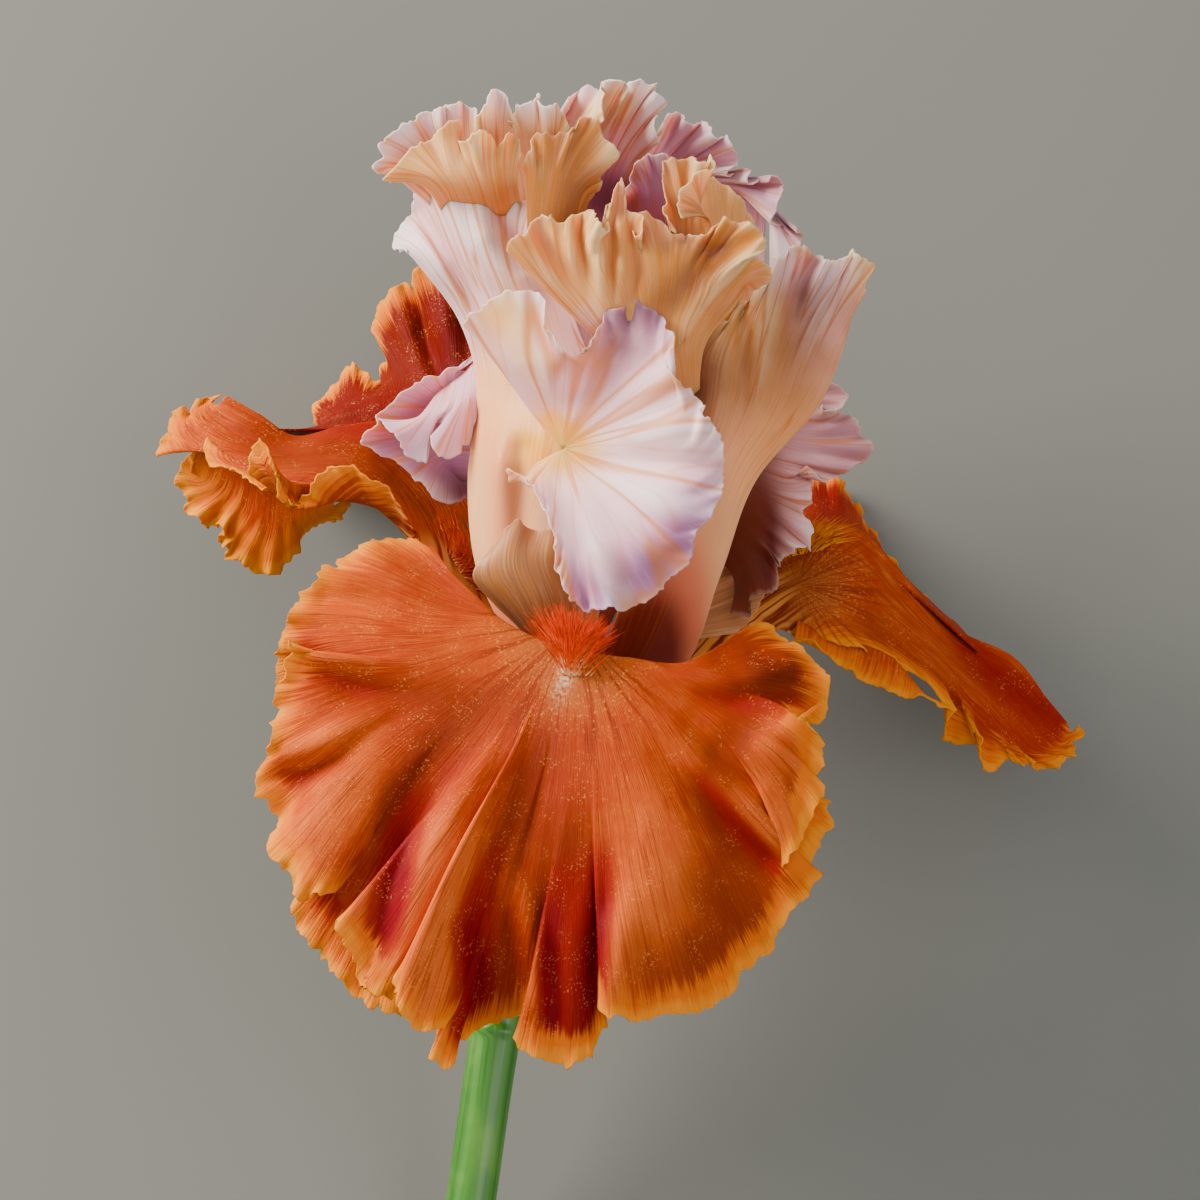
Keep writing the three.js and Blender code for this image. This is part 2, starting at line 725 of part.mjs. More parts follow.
// The left front standard: its claw and panel, the pale and the peach ruffle that stand up behind the
// panel's top, the lobe at the front of the dome, and the fan flared from the claw.
const standardLeft = [
  {
    along: 5,
    reach: 0.16,
    rows: [
      rootRow(-60, PETAL_RING, ROOT_HALF_ARC),
      row([-15, 0, -1], [-13.5, 1, 3], [-10.5, 1, 6]),
      row([-21, 14, -2], [-17, 14, 6.5], [-9, 14, 10]),
      row([-22.5, 29, -3], [-17, 30, 7.5], [-1, 31, 11.2]),
      row([-21, 45, -4], [-13, 45, 7], [0, 44, 11]),
      row([-24, 56.5, -3], [-17, 57, 7], [-4, 56, 10.5]),
      row([-31, 66.5, 0], [-22, 67, 8.5], [-7, 66, 10.5]),
      row([-35, 73, -2], [-26, 77, 6], [-10, 77, 9.5]),
    ],
    edge: [
      [-34, 68, 1],
      [-35.8, 68.7, -0.5],
      [-35.4, 70.8, -1.5],
      [-34, 73, -2],
      [-32, 75.3, -1.5],
      [-31, 79, -0.5],
      [-29, 79.8, 2.5],
      [-26.3, 79, 7.5],
      [-23.5, 78, 7.5],
      [-21, 76.8, 9.5],
      [-18, 76.3, 8],
      [-15.5, 76.8, 10.3],
      [-12.5, 76.6, 9.5],
      [-10.3, 78.3, 11.3],
      [-9.2, 80.8, 10.5],
      [-10.7, 83, 11.5],
      [-12.3, 84.5, 9.8],
    ],
  },
  {
    along: 3,
    reach: 0.4,
    rows: [
      row([-29, 76, 2], [-21, 76, 5.5], [-12, 76, 6.5], [-5, 74, 7]),
      row([-35, 81, 5.5], [-24, 84, 6.5], [-13, 84, 6.5], [-5, 82, 6.5]),
      row([-38, 83, 10], [-31, 90.5, 8.5], [-22, 92, 8.5], [-13, 92, 8], [-5, 89, 7]),
    ],
    edge: [
      [-35.5, 79.7, 8.5],
      [-38.7, 82.2, 10],
      [-37.4, 84, 9],
      [-37.6, 86, 10],
      [-34.5, 88.6, 8.5],
      [-32, 90.3, 9.5],
      [-29.5, 91.8, 8],
      [-27, 92, 9],
      [-26.5, 93.3, 7.5],
      [-24, 92.9, 9],
      [-22.8, 93.6, 7.5],
      [-21.5, 92, 9.5],
      [-20.6, 91, 11.5],
      [-19.2, 94.2, 11.5],
      [-17.4, 94.9, 10],
      [-16, 94, 10.3],
      [-15.1, 90, 9.5],
      [-14.6, 92, 8],
      [-12.8, 93.4, 9],
      [-10.5, 94.5, 7.2],
      [-9.2, 92.9, 8.8],
      [-7.5, 93, 7],
      [-5.8, 90.5, 7.5],
      [-4.8, 87.5, 6.8],
    ],
  },
  {
    along: 3,
    reach: 0.4,
    rows: [
      row([-27, 75, 5.5], [-21, 74.5, 7], [-13, 74, 8]),
      row([-30, 79, 11.5], [-22, 79.5, 13.2], [-14, 79, 11.5]),
      row([-36, 80, 13], [-28, 87, 13.5], [-21, 87.5, 14], [-14, 86, 12]),
    ],
    edge: [
      [-33, 79.7, 11.5],
      [-37, 79.5, 12],
      [-34.7, 81.7, 14],
      [-33, 84.2, 12.8],
      [-30.8, 86, 14],
      [-28.6, 87.2, 12.5],
      [-26.4, 88.8, 13.8],
      [-24.2, 89.7, 11.8],
      [-23.6, 88.7, 11],
      [-24.3, 86.5, 12.5],
      [-22.7, 86.2, 16],
      [-21.3, 87.7, 16.5],
      [-19.9, 88.5, 14.5],
      [-18.9, 86.8, 12.5],
      [-17.9, 85, 12],
      [-16.4, 86.5, 13],
      [-15, 88.2, 12],
      [-13.6, 87.3, 11],
      [-13.6, 84, 11],
    ],
  },
  {
    along: 3,
    reach: 0.3,
    rows: [
      row([-12, 62, 9.7], [-8, 61, 10], [-4, 59, 10.5]),
      row([-12.5, 75, 11], [-7, 74, 11.5], [-3, 73, 10.5]),
      row([-12.5, 85, 11], [-5, 88, 11], [0, 80, 9]),
    ],
    edge: [
      [-13, 82, 10.8],
      [-12.2, 85.2, 11.8],
      [-11.6, 87.3, 10.8],
      [-9.4, 88.4, 11.6],
      [-6, 87.7, 10.4],
      [-4, 89.5, 10.8],
      [-2.2, 91, 9.6],
      [-0.3, 90.4, 9.8],
      [0.8, 88, 9.4],
      [2.5, 85.4, 9.4],
      [1.6, 82.5, 8.8],
      [0, 79.5, 8.8],
      [-2, 76.5, 8.6],
    ],
  },
  {
    along: 5,
    reach: 0.2,
    rows: [
      row([-7.5, 34.5, 9.8], [-6.8, 35.3, 10], [-5.8, 35.4, 10.2], [-5, 34.6, 10.4], [-5.3, 33.6, 10.4],
        [-6.2, 33.1, 10.2], [-7.2, 33.4, 9.9]),
      row([-11, 39.5, 12.8], [-7.5, 42, 14], [-2, 42, 15.5], [1, 38, 16.5], [1, 32.5, 17], [-2, 28, 17],
        [-6, 27.5, 16], [-9, 29.5, 14.5], [-11, 31.5, 12.6]),
      row([-17.5, 48.5, 15], [-12, 51, 17.5], [-7, 48, 19.5], [3, 48, 21], [8.5, 44, 23], [12, 36, 24.5],
        [11.5, 26, 25.5], [7, 18, 26], [0, 14, 26], [-5, 18, 24.5], [-9.5, 25, 20], [-12.5, 29.5, 15.5]),
      row([-23, 55.5, 15], [-12, 61, 19.5], [-7, 50, 22.5], [2, 57, 22.5], [11, 53, 24], [17, 42, 25.5],
        [21, 32, 26.5], [17, 20, 26.5], [8, 8.5, 27], [-3, 8, 27], [-8, 17, 25], [-11, 27, 20],
        [-15.5, 29.5, 16]),
    ],
    edge: [
      [-23.4, 55.6, 15.5],
      [-21, 57.6, 16.5],
      [-18.5, 59.5, 18.5],
      [-15, 60.6, 18.3],
      [-12, 60.9, 20],
      [-10.3, 59.4, 20.8],
      [-9.7, 56, 22.5],
      [-8.5, 52.5, 23.2],
      [-6.8, 50.2, 22.8],
      [-4.5, 49.8, 22],
      [-2, 51, 22],
      [-0.3, 54, 22.8],
      [0.8, 57, 22],
      [2.8, 57.8, 23.8],
      [5, 59, 22.6],
      [7.3, 58.4, 24.2],
      [9.4, 57.2, 23],
      [10.3, 55.4, 24.6],
      [12.2, 53.5, 24],
      [11.9, 50.5, 25],
      [11.4, 48.6, 24],
      [13.2, 46, 25.4],
      [16, 43, 25],
      [18, 39.6, 26.4],
      [20.4, 36.4, 25.8],
      [20.9, 33, 26.8],
      [20.6, 29.5, 26],
      [20.3, 26, 27],
      [19.2, 22.8, 26],
      [16.6, 20, 26.8],
      [15.8, 16.6, 26],
      [13.4, 13.6, 27.2],
      [11, 11, 26.4],
      [8, 8.6, 27.6],
      [5, 7, 27],
      [1.5, 7.4, 27.8],
      [-2, 7, 27],
      [-5, 8.6, 27.6],
      [-6.6, 12, 26.4],
      [-7.8, 17, 25.5],
      [-9.4, 22, 23.5],
      [-11, 26.5, 21],
      [-13.2, 29.6, 18.5],
      [-15.5, 30.4, 16.8],
      [-15.3, 28.8, 14.5],
    ],
  },
];

// The right front standard: its claw and wing, the ruffle over its middle, the cupped lobe and the
// broad lobe behind the ruffle.
const standardRight = [
  {
    along: 6,
    reach: 0.16,
    rows: [
      rootRow(60, PETAL_RING, ROOT_HALF_ARC),
      row([0, -2, 6.5], [7, -3, 6], [13.5, -4, 1]),
      row([5, 13, 12], [13, 12, 11], [20.5, 13, 3]),
      row([8, 31, 15], [17, 30, 14], [26.5, 29, 3]),
      row([8, 45, 15], [22, 44, 13.5], [38, 43, 2.5]),
      row([6, 57, 13], [26, 60, 10.5], [45, 62, 1]),
    ],
    edge: [
      [6, 56, 13],
      [13, 56.5, 13],
      [20, 56, 12.4],
      [23.6, 57, 10.8],
      [24.2, 59.2, 11.4],
      [26.2, 60.6, 10.2],
      [28, 62, 10.6],
      [30, 64.6, 8.8],
      [30.2, 66.8, 9.6],
      [31.8, 68, 8],
      [34, 68.8, 8.6],
      [36.6, 67.8, 6.4],
      [39, 66.4, 7],
      [41, 66.8, 4.8],
      [42.4, 67.2, 5.4],
      [43.4, 68.8, 3.6],
      [44.4, 67.2, 4.6],
      [46.4, 65.2, 2],
      [45.6, 62.6, 1.4],
      [43.4, 58, 0.6],
    ],
  },
  {
    along: 4,
    reach: 0.24,
    rows: [
      row([9, 42, 14.7], [12.5, 41.5, 14.9], [17, 41, 14.2]),
      row([4, 48, 15.5], [9.5, 48, 17.2], [17, 47.5, 16]),
      row([-2, 54, 17], [7, 56, 19], [18.5, 53, 17.5]),
      row([-9, 60.8, 19], [3, 64, 20.5], [14, 62.5, 20], [24, 60, 17.5]),
      row([-15.5, 67.5, 21.5], [-6, 73, 21], [6, 73, 20.5], [16, 71, 19.5], [28, 69, 18]),
    ],
    edge: [
      [-15.8, 67.3, 21],
      [-15, 69.2, 22.2],
      [-13.5, 70.4, 21],
      [-12.2, 71.4, 21.8],
      [-10.5, 73, 20],
      [-8.5, 72.7, 21.4],
      [-6.5, 72.2, 20],
      [-4.5, 73.3, 21.6],
      [-2.5, 74.1, 20],
      [-0.8, 73.8, 21.2],
      [0, 71.6, 23.6],
      [1, 71.2, 22.8],
      [1, 73.6, 20],
      [1.2, 75.4, 19],
      [2.1, 75.8, 20],
      [2.9, 78.4, 18.5],
      [4, 80.4, 17.8],
      [4.4, 77, 17.8],
      [4.8, 74, 18.8],
      [6.4, 72.6, 22],
      [6.5, 70.4, 23],
      [5.2, 72.8, 18.5],
      [7.6, 74.3, 17.6],
      [10, 73, 16.8],
      [12.6, 70.4, 18.4],
      [15.2, 70, 17.6],
      [18, 70.6, 19.6],
      [20.3, 72, 18],
      [21.6, 73.4, 19.2],
      [23.2, 72.2, 18],
      [25, 72.2, 19.2],
      [27.8, 70.4, 18.4],
      [27.9, 68.4, 19],
      [25.6, 66.4, 20],
      [28.4, 66, 16.6],
      [28.9, 63.6, 15.6],
      [27, 61.5, 15.4],
      [24.5, 59, 14.6],
    ],
  },
  {
    along: 3,
    reach: 0.3,
    rows: [
      row([11, 51, 13.4], [15, 51, 13.2], [19, 51, 12.6]),
      row([11.5, 65, 13.5], [15, 65, 13], [19, 65, 12.3]),
      row([11.5, 77, 12.5], [15.5, 82, 9.5], [19, 81, 12]),
    ],
    edge: [
      [12.5, 70, 15],
      [11.4, 75, 14.5],
      [11.2, 79, 11.5],
      [10.7, 83.6, 10],
      [13, 83.2, 10.8],
      [15, 83.8, 9.6],
      [17, 83, 10.8],
      [19, 83.8, 9.8],
      [19.9, 82.3, 11.5],
      [17.6, 81, 14],
      [14.6, 79.6, 15],
      [12.8, 77.5, 15.4],
      [13.8, 73, 15.2],
    ],
  },
  {
    along: 3,
    reach: 0.3,
    rows: [
      row([14, 51, 12.9], [19, 51, 12.3], [24, 51, 10.8]),
      row([15, 66, 10.5], [20, 66, 10], [25, 64, 9]),
      row([15, 78, 7], [20, 80, 6.5], [26, 73, 8]),
    ],
    edge: [
      [13.5, 76, 8.6],
      [15.5, 79.5, 7],
      [17.8, 81, 7.8],
      [20.4, 80.4, 6.4],
      [23, 78.4, 7.6],
      [24.6, 75.6, 7],
      [26.2, 73, 8.6],
    ],
  },
];

// The back standard: the back of the dome, the purple lobe inside it, the left flap and the right lobe.
const standardBack = [
  {
    along: 5,
    reach: 0.16,
    rows: [
      rootRow(180, PETAL_RING, -ROOT_HALF_ARC),
      row([-9.5, 1, -8], [-5, 1, -9.5], [0, 1, -8]),
      row([-13, 20, -11.5], [-2, 20, -14], [10, 20, -11.5]),
      row([-18, 42, -14], [2, 42, -20], [22, 42, -14]),
      row([-19, 62, -16], [5, 62, -24], [28, 62, -17]),
      row([-17, 80, -13], [7, 80, -20], [29, 78, -15]),
      row([-14, 91, -8], [-6, 94, -9], [4, 96, -9], [14, 91, -12], [24, 83, -12], [32, 72, -10]),
    ],
    edge: [
      [-15, 89, -7],
      [-11, 91, -9],
      [-7.5, 91.5, -8],
      [-6, 92.5, -10],
      [-5, 95.2, -8.5],
      [-3.4, 96.5, -10.5],
      [-1.4, 97.1, -9],
      [0, 95.5, -8.5],
      [0.2, 90.6, -3.5],
      [-0.4, 94, -3],
      [0.6, 97.6, -5],
      [2.6, 98.4, -4],
      [4.9, 98, -6],
      [5, 95.6, -5.5],
      [4.6, 97.2, -9.5],
      [7, 97.9, -8.5],
      [9.4, 97.3, -11],
      [9.7, 95.5, -9.5],
      [10.5, 93.4, -11.5],
      [9.8, 90.5, -9.5],
      [10.4, 87.5, -9],
      [11, 90.5, -13],
      [12.4, 92.4, -12],
      [14, 92.4, -14],
      [15.6, 91.2, -12],
      [17.5, 91.4, -14],
      [19, 90, -12],
      [20, 89, -10.5],
      [22.2, 89, -12.5],
      [23.2, 87.4, -10.5],
      [23.8, 84.8, -12],
      [21.6, 82.2, -9.5],
      [24, 82.3, -13],
      [26.4, 82.4, -11.5],
      [26, 80.4, -9.5],
      [28, 80.8, -12],
      [29.6, 81.4, -10],
      [31.1, 80.4, -11.5],
      [31, 78, -9.5],
      [29.4, 73.5, -9],
      [32, 73.2, -11.5],
      [34, 72.5, -9.5],
      [35, 71, -11],
      [34, 70, -9],
      [34.6, 68.8, -10],
      [31.5, 67.4, -8.5],
      [29, 65, -8.5],
    ],
  },
  {
    along: 3,
    reach: 0.3,
    rows: [
      row([3, 60, -23.3], [9, 60, -23.3], [15, 60, -22]),
      row([3.5, 73, -8], [9, 74, -6], [15, 72, -8]),
      row([4, 79, -3], [8.5, 85.5, -3], [13, 82, -4]),
    ],
    edge: [
      [2.5, 74, -3],
      [3.6, 77.5, -1.5],
      [5, 81, -3],
      [6.4, 84, -2],
      [8, 85.6, -3.5],
      [10.4, 85.4, -2.5],
      [12.5, 83, -4.5],
      [14.5, 80, -4],
    ],
  },
  {
    along: 3,
    reach: 0.35,
    rows: [
      row([-15.5, 49, -15.3], [-15, 38, -14.5], [-13, 27, -13.3]),
      row([-24, 48, -10], [-27, 38, -12], [-24, 29, -10]),
      row([-21.5, 51, -11], [-34, 43.5, -7], [-41, 36.2, -6], [-33, 30, -5], [-21, 27.5, -8]),
    ],
    edge: [
      [-20.5, 52.5, -10.5],
      [-23, 49.2, -9.5],
      [-28, 47.2, -8],
      [-32, 45.6, -7],
      [-35.5, 43, -6.5],
      [-38.4, 40, -5],
      [-38.2, 39, -3.5],
      [-41.2, 35.8, -5.5],
      [-38, 33.6, -6],
      [-35.6, 32.8, -6.5],
      [-32.5, 29.8, -7],
      [-29.5, 26.8, -7.5],
      [-26.5, 25.2, -8],
      [-23.5, 25.8, -8.5],
      [-20.5, 27, -9],
    ],
  },
  {
    along: 3,
    reach: 0.5,
    rows: [
      row([-20.5, 50.5, -10.2], [-24, 47, -9.6], [-28, 44, -9]),
      row([-20.5, 45, -4.5], [-25, 42, -3], [-31, 40, -3]),
      row([-21, 39, -2.5], [-26, 36.5, -0.5], [-36, 37, -2.5]),
    ],
    edge: [
      [-20.6, 43, -4.5],
      [-21.5, 39, -3],
      [-22.6, 35.5, -3.5],
      [-24, 35.4, -1.5],
      [-24.2, 33.2, -0.5],
      [-26.4, 32.8, 0.5],
      [-28.4, 34, 0.8],
      [-29.4, 36, 0],
      [-27.6, 38.4, -1.5],
      [-29.5, 39.2, -5],
      [-31.5, 38.5, -5.5],
      [-29.4, 33, -1.5],
      [-30, 31.8, -1],
      [-33.2, 33.4, -0.5],
      [-35.2, 36.8, 0],
      [-38.2, 39.8, -3.5],
    ],
  },
  {
    along: 3,
    reach: 0.3,
    rows: [
      row([19, 48, -15.5], [17, 36, -14.3], [11, 20, -12.2]),
      row([31, 47, -9], [28, 34, -8.5], [20, 16, -8]),
      row([40, 46, -5], [45, 38, -4], [38, 29, -3.5], [35, 18, -3.5], [26, 8, -4]),
    ],
    edge: [
      [37, 48, -7],
      [39.5, 46.5, -5],
      [41.8, 44.8, -5.5],
      [42.8, 43, -3.5],
      [41, 42, -3],
      [38.2, 41.8, -1.5],
      [41.5, 41, -5],
      [44.4, 39.6, -3.5],
      [45, 37, -5],
      [46.6, 35, -3.5],
      [46.2, 32.4, -5],
      [43.8, 31.2, -3],
      [41, 30.2, -4.5],
      [38, 30, -2],
      [36, 30.6, -5],
      [36, 26, -2.5],
      [35.4, 23, -4.5],
      [36.6, 19.6, -2.5],
      [36.2, 17.2, -4.5],
      [33.5, 17.4, -2],
      [31.8, 15.4, -4],
      [30.4, 15, -1.5],
      [30.8, 12.4, -4],
      [28.8, 9.6, -2],
      [26.4, 9.4, -3.4],
      [25.6, 5.6, -1.6],
      [22.4, 6.4, -2.8],
    ],
  },
];

const styleFront = [
  {
    across: 9,
    along: 7,
    reach: 0.35,
    rows: [
      rootRow(0, STYLE_RING, 50),
      row([-8.5, -4, 5.5], [-7, -4, 7], [-5, -4, 5.5]),
      row([-13, 3, 12.5], [-8, 2, 13.5], [-1.5, 2, 12]),
      row([-18, 8, 15], [-10, 8.5, 17.5], [0, 8, 15.5]),
      row([-21.5, 12.5, 16], [-12, 15, 19], [-1, 13, 17]),
      row([-19, 17, 16.5], [-14, 21.5, 18], [-10, 20, 19], [-6, 21, 18.5], [-2, 17, 17]),
    ],
    tip: [
      [0, 0],
      [0.3, 1],
      [0.5, -1.2],
      [0.7, 1],
      [1, 0],
    ],
  },
];
const styleLeft = [
  {
    across: 6,
    along: 6,
    reach: 0.35,
    rows: [
      rootRow(-120, STYLE_RING, -50),
      row([-10.8, -5, -1], [-10.5, -5, -3], [-8.8, -5, -4.5]),
      row([-14.8, 5, -2.6], [-14, 7, -5], [-11, 9, -7.3]),
      row([-18.3, 13, -4.5], [-18, 16, -7], [-14.5, 18, -9]),
    ],
    tip: [
      [0, 0],
      [0.5, 0.8],
      [1, 0],
    ],
  },
];
const styleRight = [
  {
    across: 8,
    along: 6,
    reach: 0.45,
    rows: [
      rootRow(120, STYLE_RING, 50),
      row([-3, -6, -1.2], [-2, -5, -2.8], [-2.8, -3.5, -4.2]),
      row([8, 0, -2], [8, 4, -6], [6.5, 7, -7.5]),
      row([18, 2, -4], [18, 8, -7], [15, 13, -9]),
      row([24.5, 3, -5], [27, 7.5, -5.5], [28, 11, -7], [24, 14, -9], [19, 16, -10.5]),
    ],
    tip: [
      [0, 0],
      [0.25, 1],
      [0.5, -1],
      [0.75, 1],
      [1, 0],
    ],
  },
];

// Each beard: the blade that it stands on and its shown side, from where to where it runs on the blade
// as [u, v], how many hairs it has, and the longest of them.
const BEARDS = {
  front: { petal: fallFront[0], side: -1, from: [0.5, 0.36], to: [0.5, 0.54], hairs: 26, length: 7 },
  left: { petal: fallLeft[0], side: 1, from: [0.26, 0.38], to: [0.4, 0.38], hairs: 10, length: 3.6 },
  right: { petal: fallRight[0], side: -1, from: [0.36, 0.3], to: [0.48, 0.3], hairs: 16, length: 5 },
};
const BEARD_CORE_RADIUS = 0.9;
const BEARD_CLEARANCE = 0.4; // more than the seat, for the facets of a curved haft
const HAIR_RADIUS = 0.34;
const BEARD_SEED = 11;

// Each stamen: its angle round the tube, then the filament's and the anther's course.
const STAMENS = {
  front: {
    degrees: 0,
    course: [[-7, -8, 7.5], [-6.8, -3.5, 11.1], [-6.5, 0, 14.3]],
    anther: [-6.4, 1.8, 15.8],
  },
  left: {
    degrees: -120,
    course: [[-11.3, -8.5, -3.15], [-12.5, -4.5, -4.6], [-15.7, 4.2, -7.15]],
    anther: [-17, 7.5, -8.6],
  },
  right: {
    degrees: 120,
    course: [[-1.7, -9, -3.8], [2.5, -4.6, -6], [8, 0.5, -9]],
    anther: [10.5, 3, -9.8],
  },
};
const FILAMENT_RADIUS = 0.45;
const ANTHER_RADIUS = 0.9;

// A seeded draw from 0 to 1.
function seededDraw(seed) {
  let state = seed;
  return () => {
    state = (state * 1664525 + 1013904223) % 4294967296;
    return state / 4294967296;
  };
}

function petalGeometry(plies, thickness) {
  return fused(plies.map((ply) => bladeGeometry(ply, thickness)));
}

// A round bar along a curve, with its ends closed.
function barGeometry(points, radius, sides, steps) {
  const section = new THREE.Shape(
    Array.from({ length: sides }, (_, i) => {
      const angle = (2 * Math.PI * i) / sides;
      return new THREE.Vector2(radius * Math.cos(angle), radius * Math.sin(angle));
    }),
  );
  const path = new THREE.CatmullRomCurve3(points.map(vec));
  return new THREE.ExtrudeGeometry(section, { steps, bevelEnabled: false, extrudePath: path });
}

// A turned solid whose axis runs from a place along a direction.
function turnedGeometry(profile, sides, place, direction) {
  const points = profile.map(([radius, height]) => new THREE.Vector2(radius, height));
  const geometry = new THREE.LatheGeometry(points, sides);
  const turn = new THREE.Quaternion().setFromUnitVectors(new THREE.Vector3(0, 1, 0), direction);
  return geometry.applyQuaternion(turn).translate(place.x, place.y, place.z);
}

function stemGeometry() {
  const bar = barGeometry(STEM_PATH, STEM_RADIUS, 12, 6);
  const collarPlace = vec(STEM_PATH[2]);
  const direction = vec(STEM_PATH[3]).sub(vec(STEM_PATH[1])).normalize();
  const profile = [
    [0, -COLLAR_HEIGHT],
    [STEM_RADIUS - 0.2, -COLLAR_HEIGHT],
    [COLLAR_RADIUS, -COLLAR_HEIGHT / 2],
    [COLLAR_RADIUS, 0],
    [STEM_RADIUS - 0.2, COLLAR_HEIGHT / 2],
    [0, COLLAR_HEIGHT / 2],
  ];
  return fused([bar, turnedGeometry(profile, 12, collarPlace, direction)]);
}

function ovaryGeometry() {
  const foot = vec(TUBE_TOP).addScaledVector(tubeUp, -OVARY_LENGTH);
  const profile = [
    [0, 0],
    [3.4, 0],
    [OVARY_RADIUS - 0.4, 5],
    [OVARY_RADIUS, 12],
    [OVARY_RADIUS - 0.5, 20],
    [3.9, 26],
    [4.4, 32],
    [TUBE_RADIUS, OVARY_LENGTH],
    [0, OVARY_LENGTH],
  ];
  return turnedGeometry(profile, 12, foot, tubeUp);
}

// A bract's row: an arc round the line of stem and ovary at a height, radius and spread in degrees.
function bractRow(y, radius, middle, halfSpread) {
  const low = vec(STEM_PATH[2]);
  const high = vec(TUBE_TOP);
  const centre = low.clone().lerp(high, (y - low.y) / (high.y - low.y));
  const points = [-1, -0.6, -0.2, 0.2, 0.6, 1].map((side) => {
    const angle = THREE.MathUtils.degToRad(middle + side * halfSpread);
    return [centre.x + radius * Math.sin(angle), centre.y, centre.z + radius * Math.cos(angle)];
  });
  return { points };
}

const spatheOuter = [
  {
    across: 10,
    along: 6,
    rows: [
      bractRow(-62.6, STEM_RADIUS + 0.9, 60, 96),
      bractRow(-56, 5.9, 60, 96),
      bractRow(-44, 7.4, 60, 88),
      bractRow(-30, 8, 60, 62),
      bractRow(-20, 8.3, 60, 34),
      bractRow(-13, 9, 60, 6),
    ],
  },
];
const spatheInner = [
  {
    across: 9,
    along: 6,
    rows: [
      bractRow(-61, STEM_RADIUS + 0.9, 240, 78),
      bractRow(-54, 5.9, 240, 76),
      bractRow(-44, 7.0, 240, 70),
      bractRow(-32, 7.6, 240, 52),
      bractRow(-24, 7.8, 240, 28),
      bractRow(-18, 8, 240, 6),
    ],
  },
];

// A beard: a slim core on the fall's surface, with hairs sunk into it that fan out from it.
function beardGeometry({ petal, side, from, to, hairs, length }) {
  const surface = smoothSurface(petal.rows);
  const draw = seededDraw(BEARD_SEED);
  const rise = PETAL / 2 + SEAT + BEARD_CORE_RADIUS + BEARD_CLEARANCE;
  const step = 0.01;
  const frameAt = (f) => {
    const u = from[0] + f * (to[0] - from[0]);
    const v = from[1] + f * (to[1] - from[1]);
    const p = surface(u, v);
    const overU = surface(u + step, v).sub(surface(u - step, v)).normalize();
    const overV = surface(u, v + step).sub(surface(u, v - step)).normalize();
    const normal = overU.clone().cross(overV).multiplyScalar(side).normalize();
    const along = to[0] === from[0] ? overV : overU;
    const across = along.clone().cross(normal).normalize();
    return { p: p.addScaledVector(normal, rise), across, along, normal };
  };
  const spine = places(5).map((f) => frameAt(f).p.toArray());
  const pieces = [barGeometry(spine, BEARD_CORE_RADIUS, 5, 6)];
  for (let i = 0; i < hairs; i++) {
    const { p, across, along, normal } = frameAt((i + 0.5) / hairs);
    const lean = (draw() - 0.5) * 2;
    const forward = (draw() - 0.35) * 1.1;
    const direction = normal
      .clone()
      .addScaledVector(across, lean * 1.1)
      .addScaledVector(along, forward)
      .normalize();
    const reach = length * (0.7 + 0.3 * draw()) * (1 - 0.35 * Math.abs(lean));
    const hair = new THREE.ConeGeometry(HAIR_RADIUS, reach, 3);
    hair.translate(0, reach / 2, 0);
    hair.applyQuaternion(new THREE.Quaternion().setFromUnitVectors(new THREE.Vector3(0, 1, 0), direction));
    const root = p.clone().addScaledVector(direction, -BEARD_CORE_RADIUS * 0.4);
    pieces.push(hair.translate(root.x, root.y, root.z));
  }
  return fused(pieces);
}

function stamenGeometry({ degrees, course, anther }) {
  const root = onTube(degrees, STAMEN_RING, SEAT + 0.15).toArray();
  const lift = onTube(degrees, STAMEN_RING, SEAT + 1.2).toArray();
  const filament = barGeometry([root, lift, ...course], FILAMENT_RADIUS, 6, 7);
  const top = course[course.length - 1];
  const body = barGeometry([course[course.length - 2], top, anther], ANTHER_RADIUS, 6, 4);
  return fused([filament, body]);
}

const flower = new THREE.Group();

function addPiece(name, geometry, colour, roughness = 0.55) {
  const material = new THREE.MeshStandardMaterial({ color: colour, roughness, metalness: 0 });
  const mesh = new THREE.Mesh(geometry, material);
  mesh.name = name;
  flower.add(mesh);
}

addPiece("stem", stemGeometry(), COLOURS.stem, 0.4);
addPiece("ovary_tube", ovaryGeometry(), COLOURS.ovary, 0.45);
addPiece("spathe_outer", petalGeometry(spatheOuter, BRACT), COLOURS.bract, 0.5);
addPiece("spathe_inner", petalGeometry(spatheInner, BRACT), COLOURS.bract, 0.5);
addPiece("fall_front", petalGeometry(fallFront, PETAL), COLOURS.fall);
addPiece("fall_left", petalGeometry(fallLeft, PETAL), COLOURS.fall);
addPiece("fall_right", petalGeometry(fallRight, PETAL), COLOURS.fall);
addPiece("standard_left", petalGeometry(standardLeft, PETAL), COLOURS.standard);
addPiece("standard_right", petalGeometry(standardRight, PETAL), COLOURS.standard);
addPiece("standard_back", petalGeometry(standardBack, PETAL), COLOURS.standard);
addPiece("style_arm_front", petalGeometry(styleFront, STYLE), COLOURS.style);
addPiece("style_arm_left", petalGeometry(styleLeft, STYLE), COLOURS.style);
addPiece("style_arm_right", petalGeometry(styleRight, STYLE), COLOURS.style);
for (const place of ["front", "left", "right"]) {
  addPiece("beard_" + place, beardGeometry(BEARDS[place]), COLOURS.beard, 0.8);
  addPiece("stamen_" + place, stamenGeometry(STAMENS[place]), COLOURS.stamen, 0.6);
}

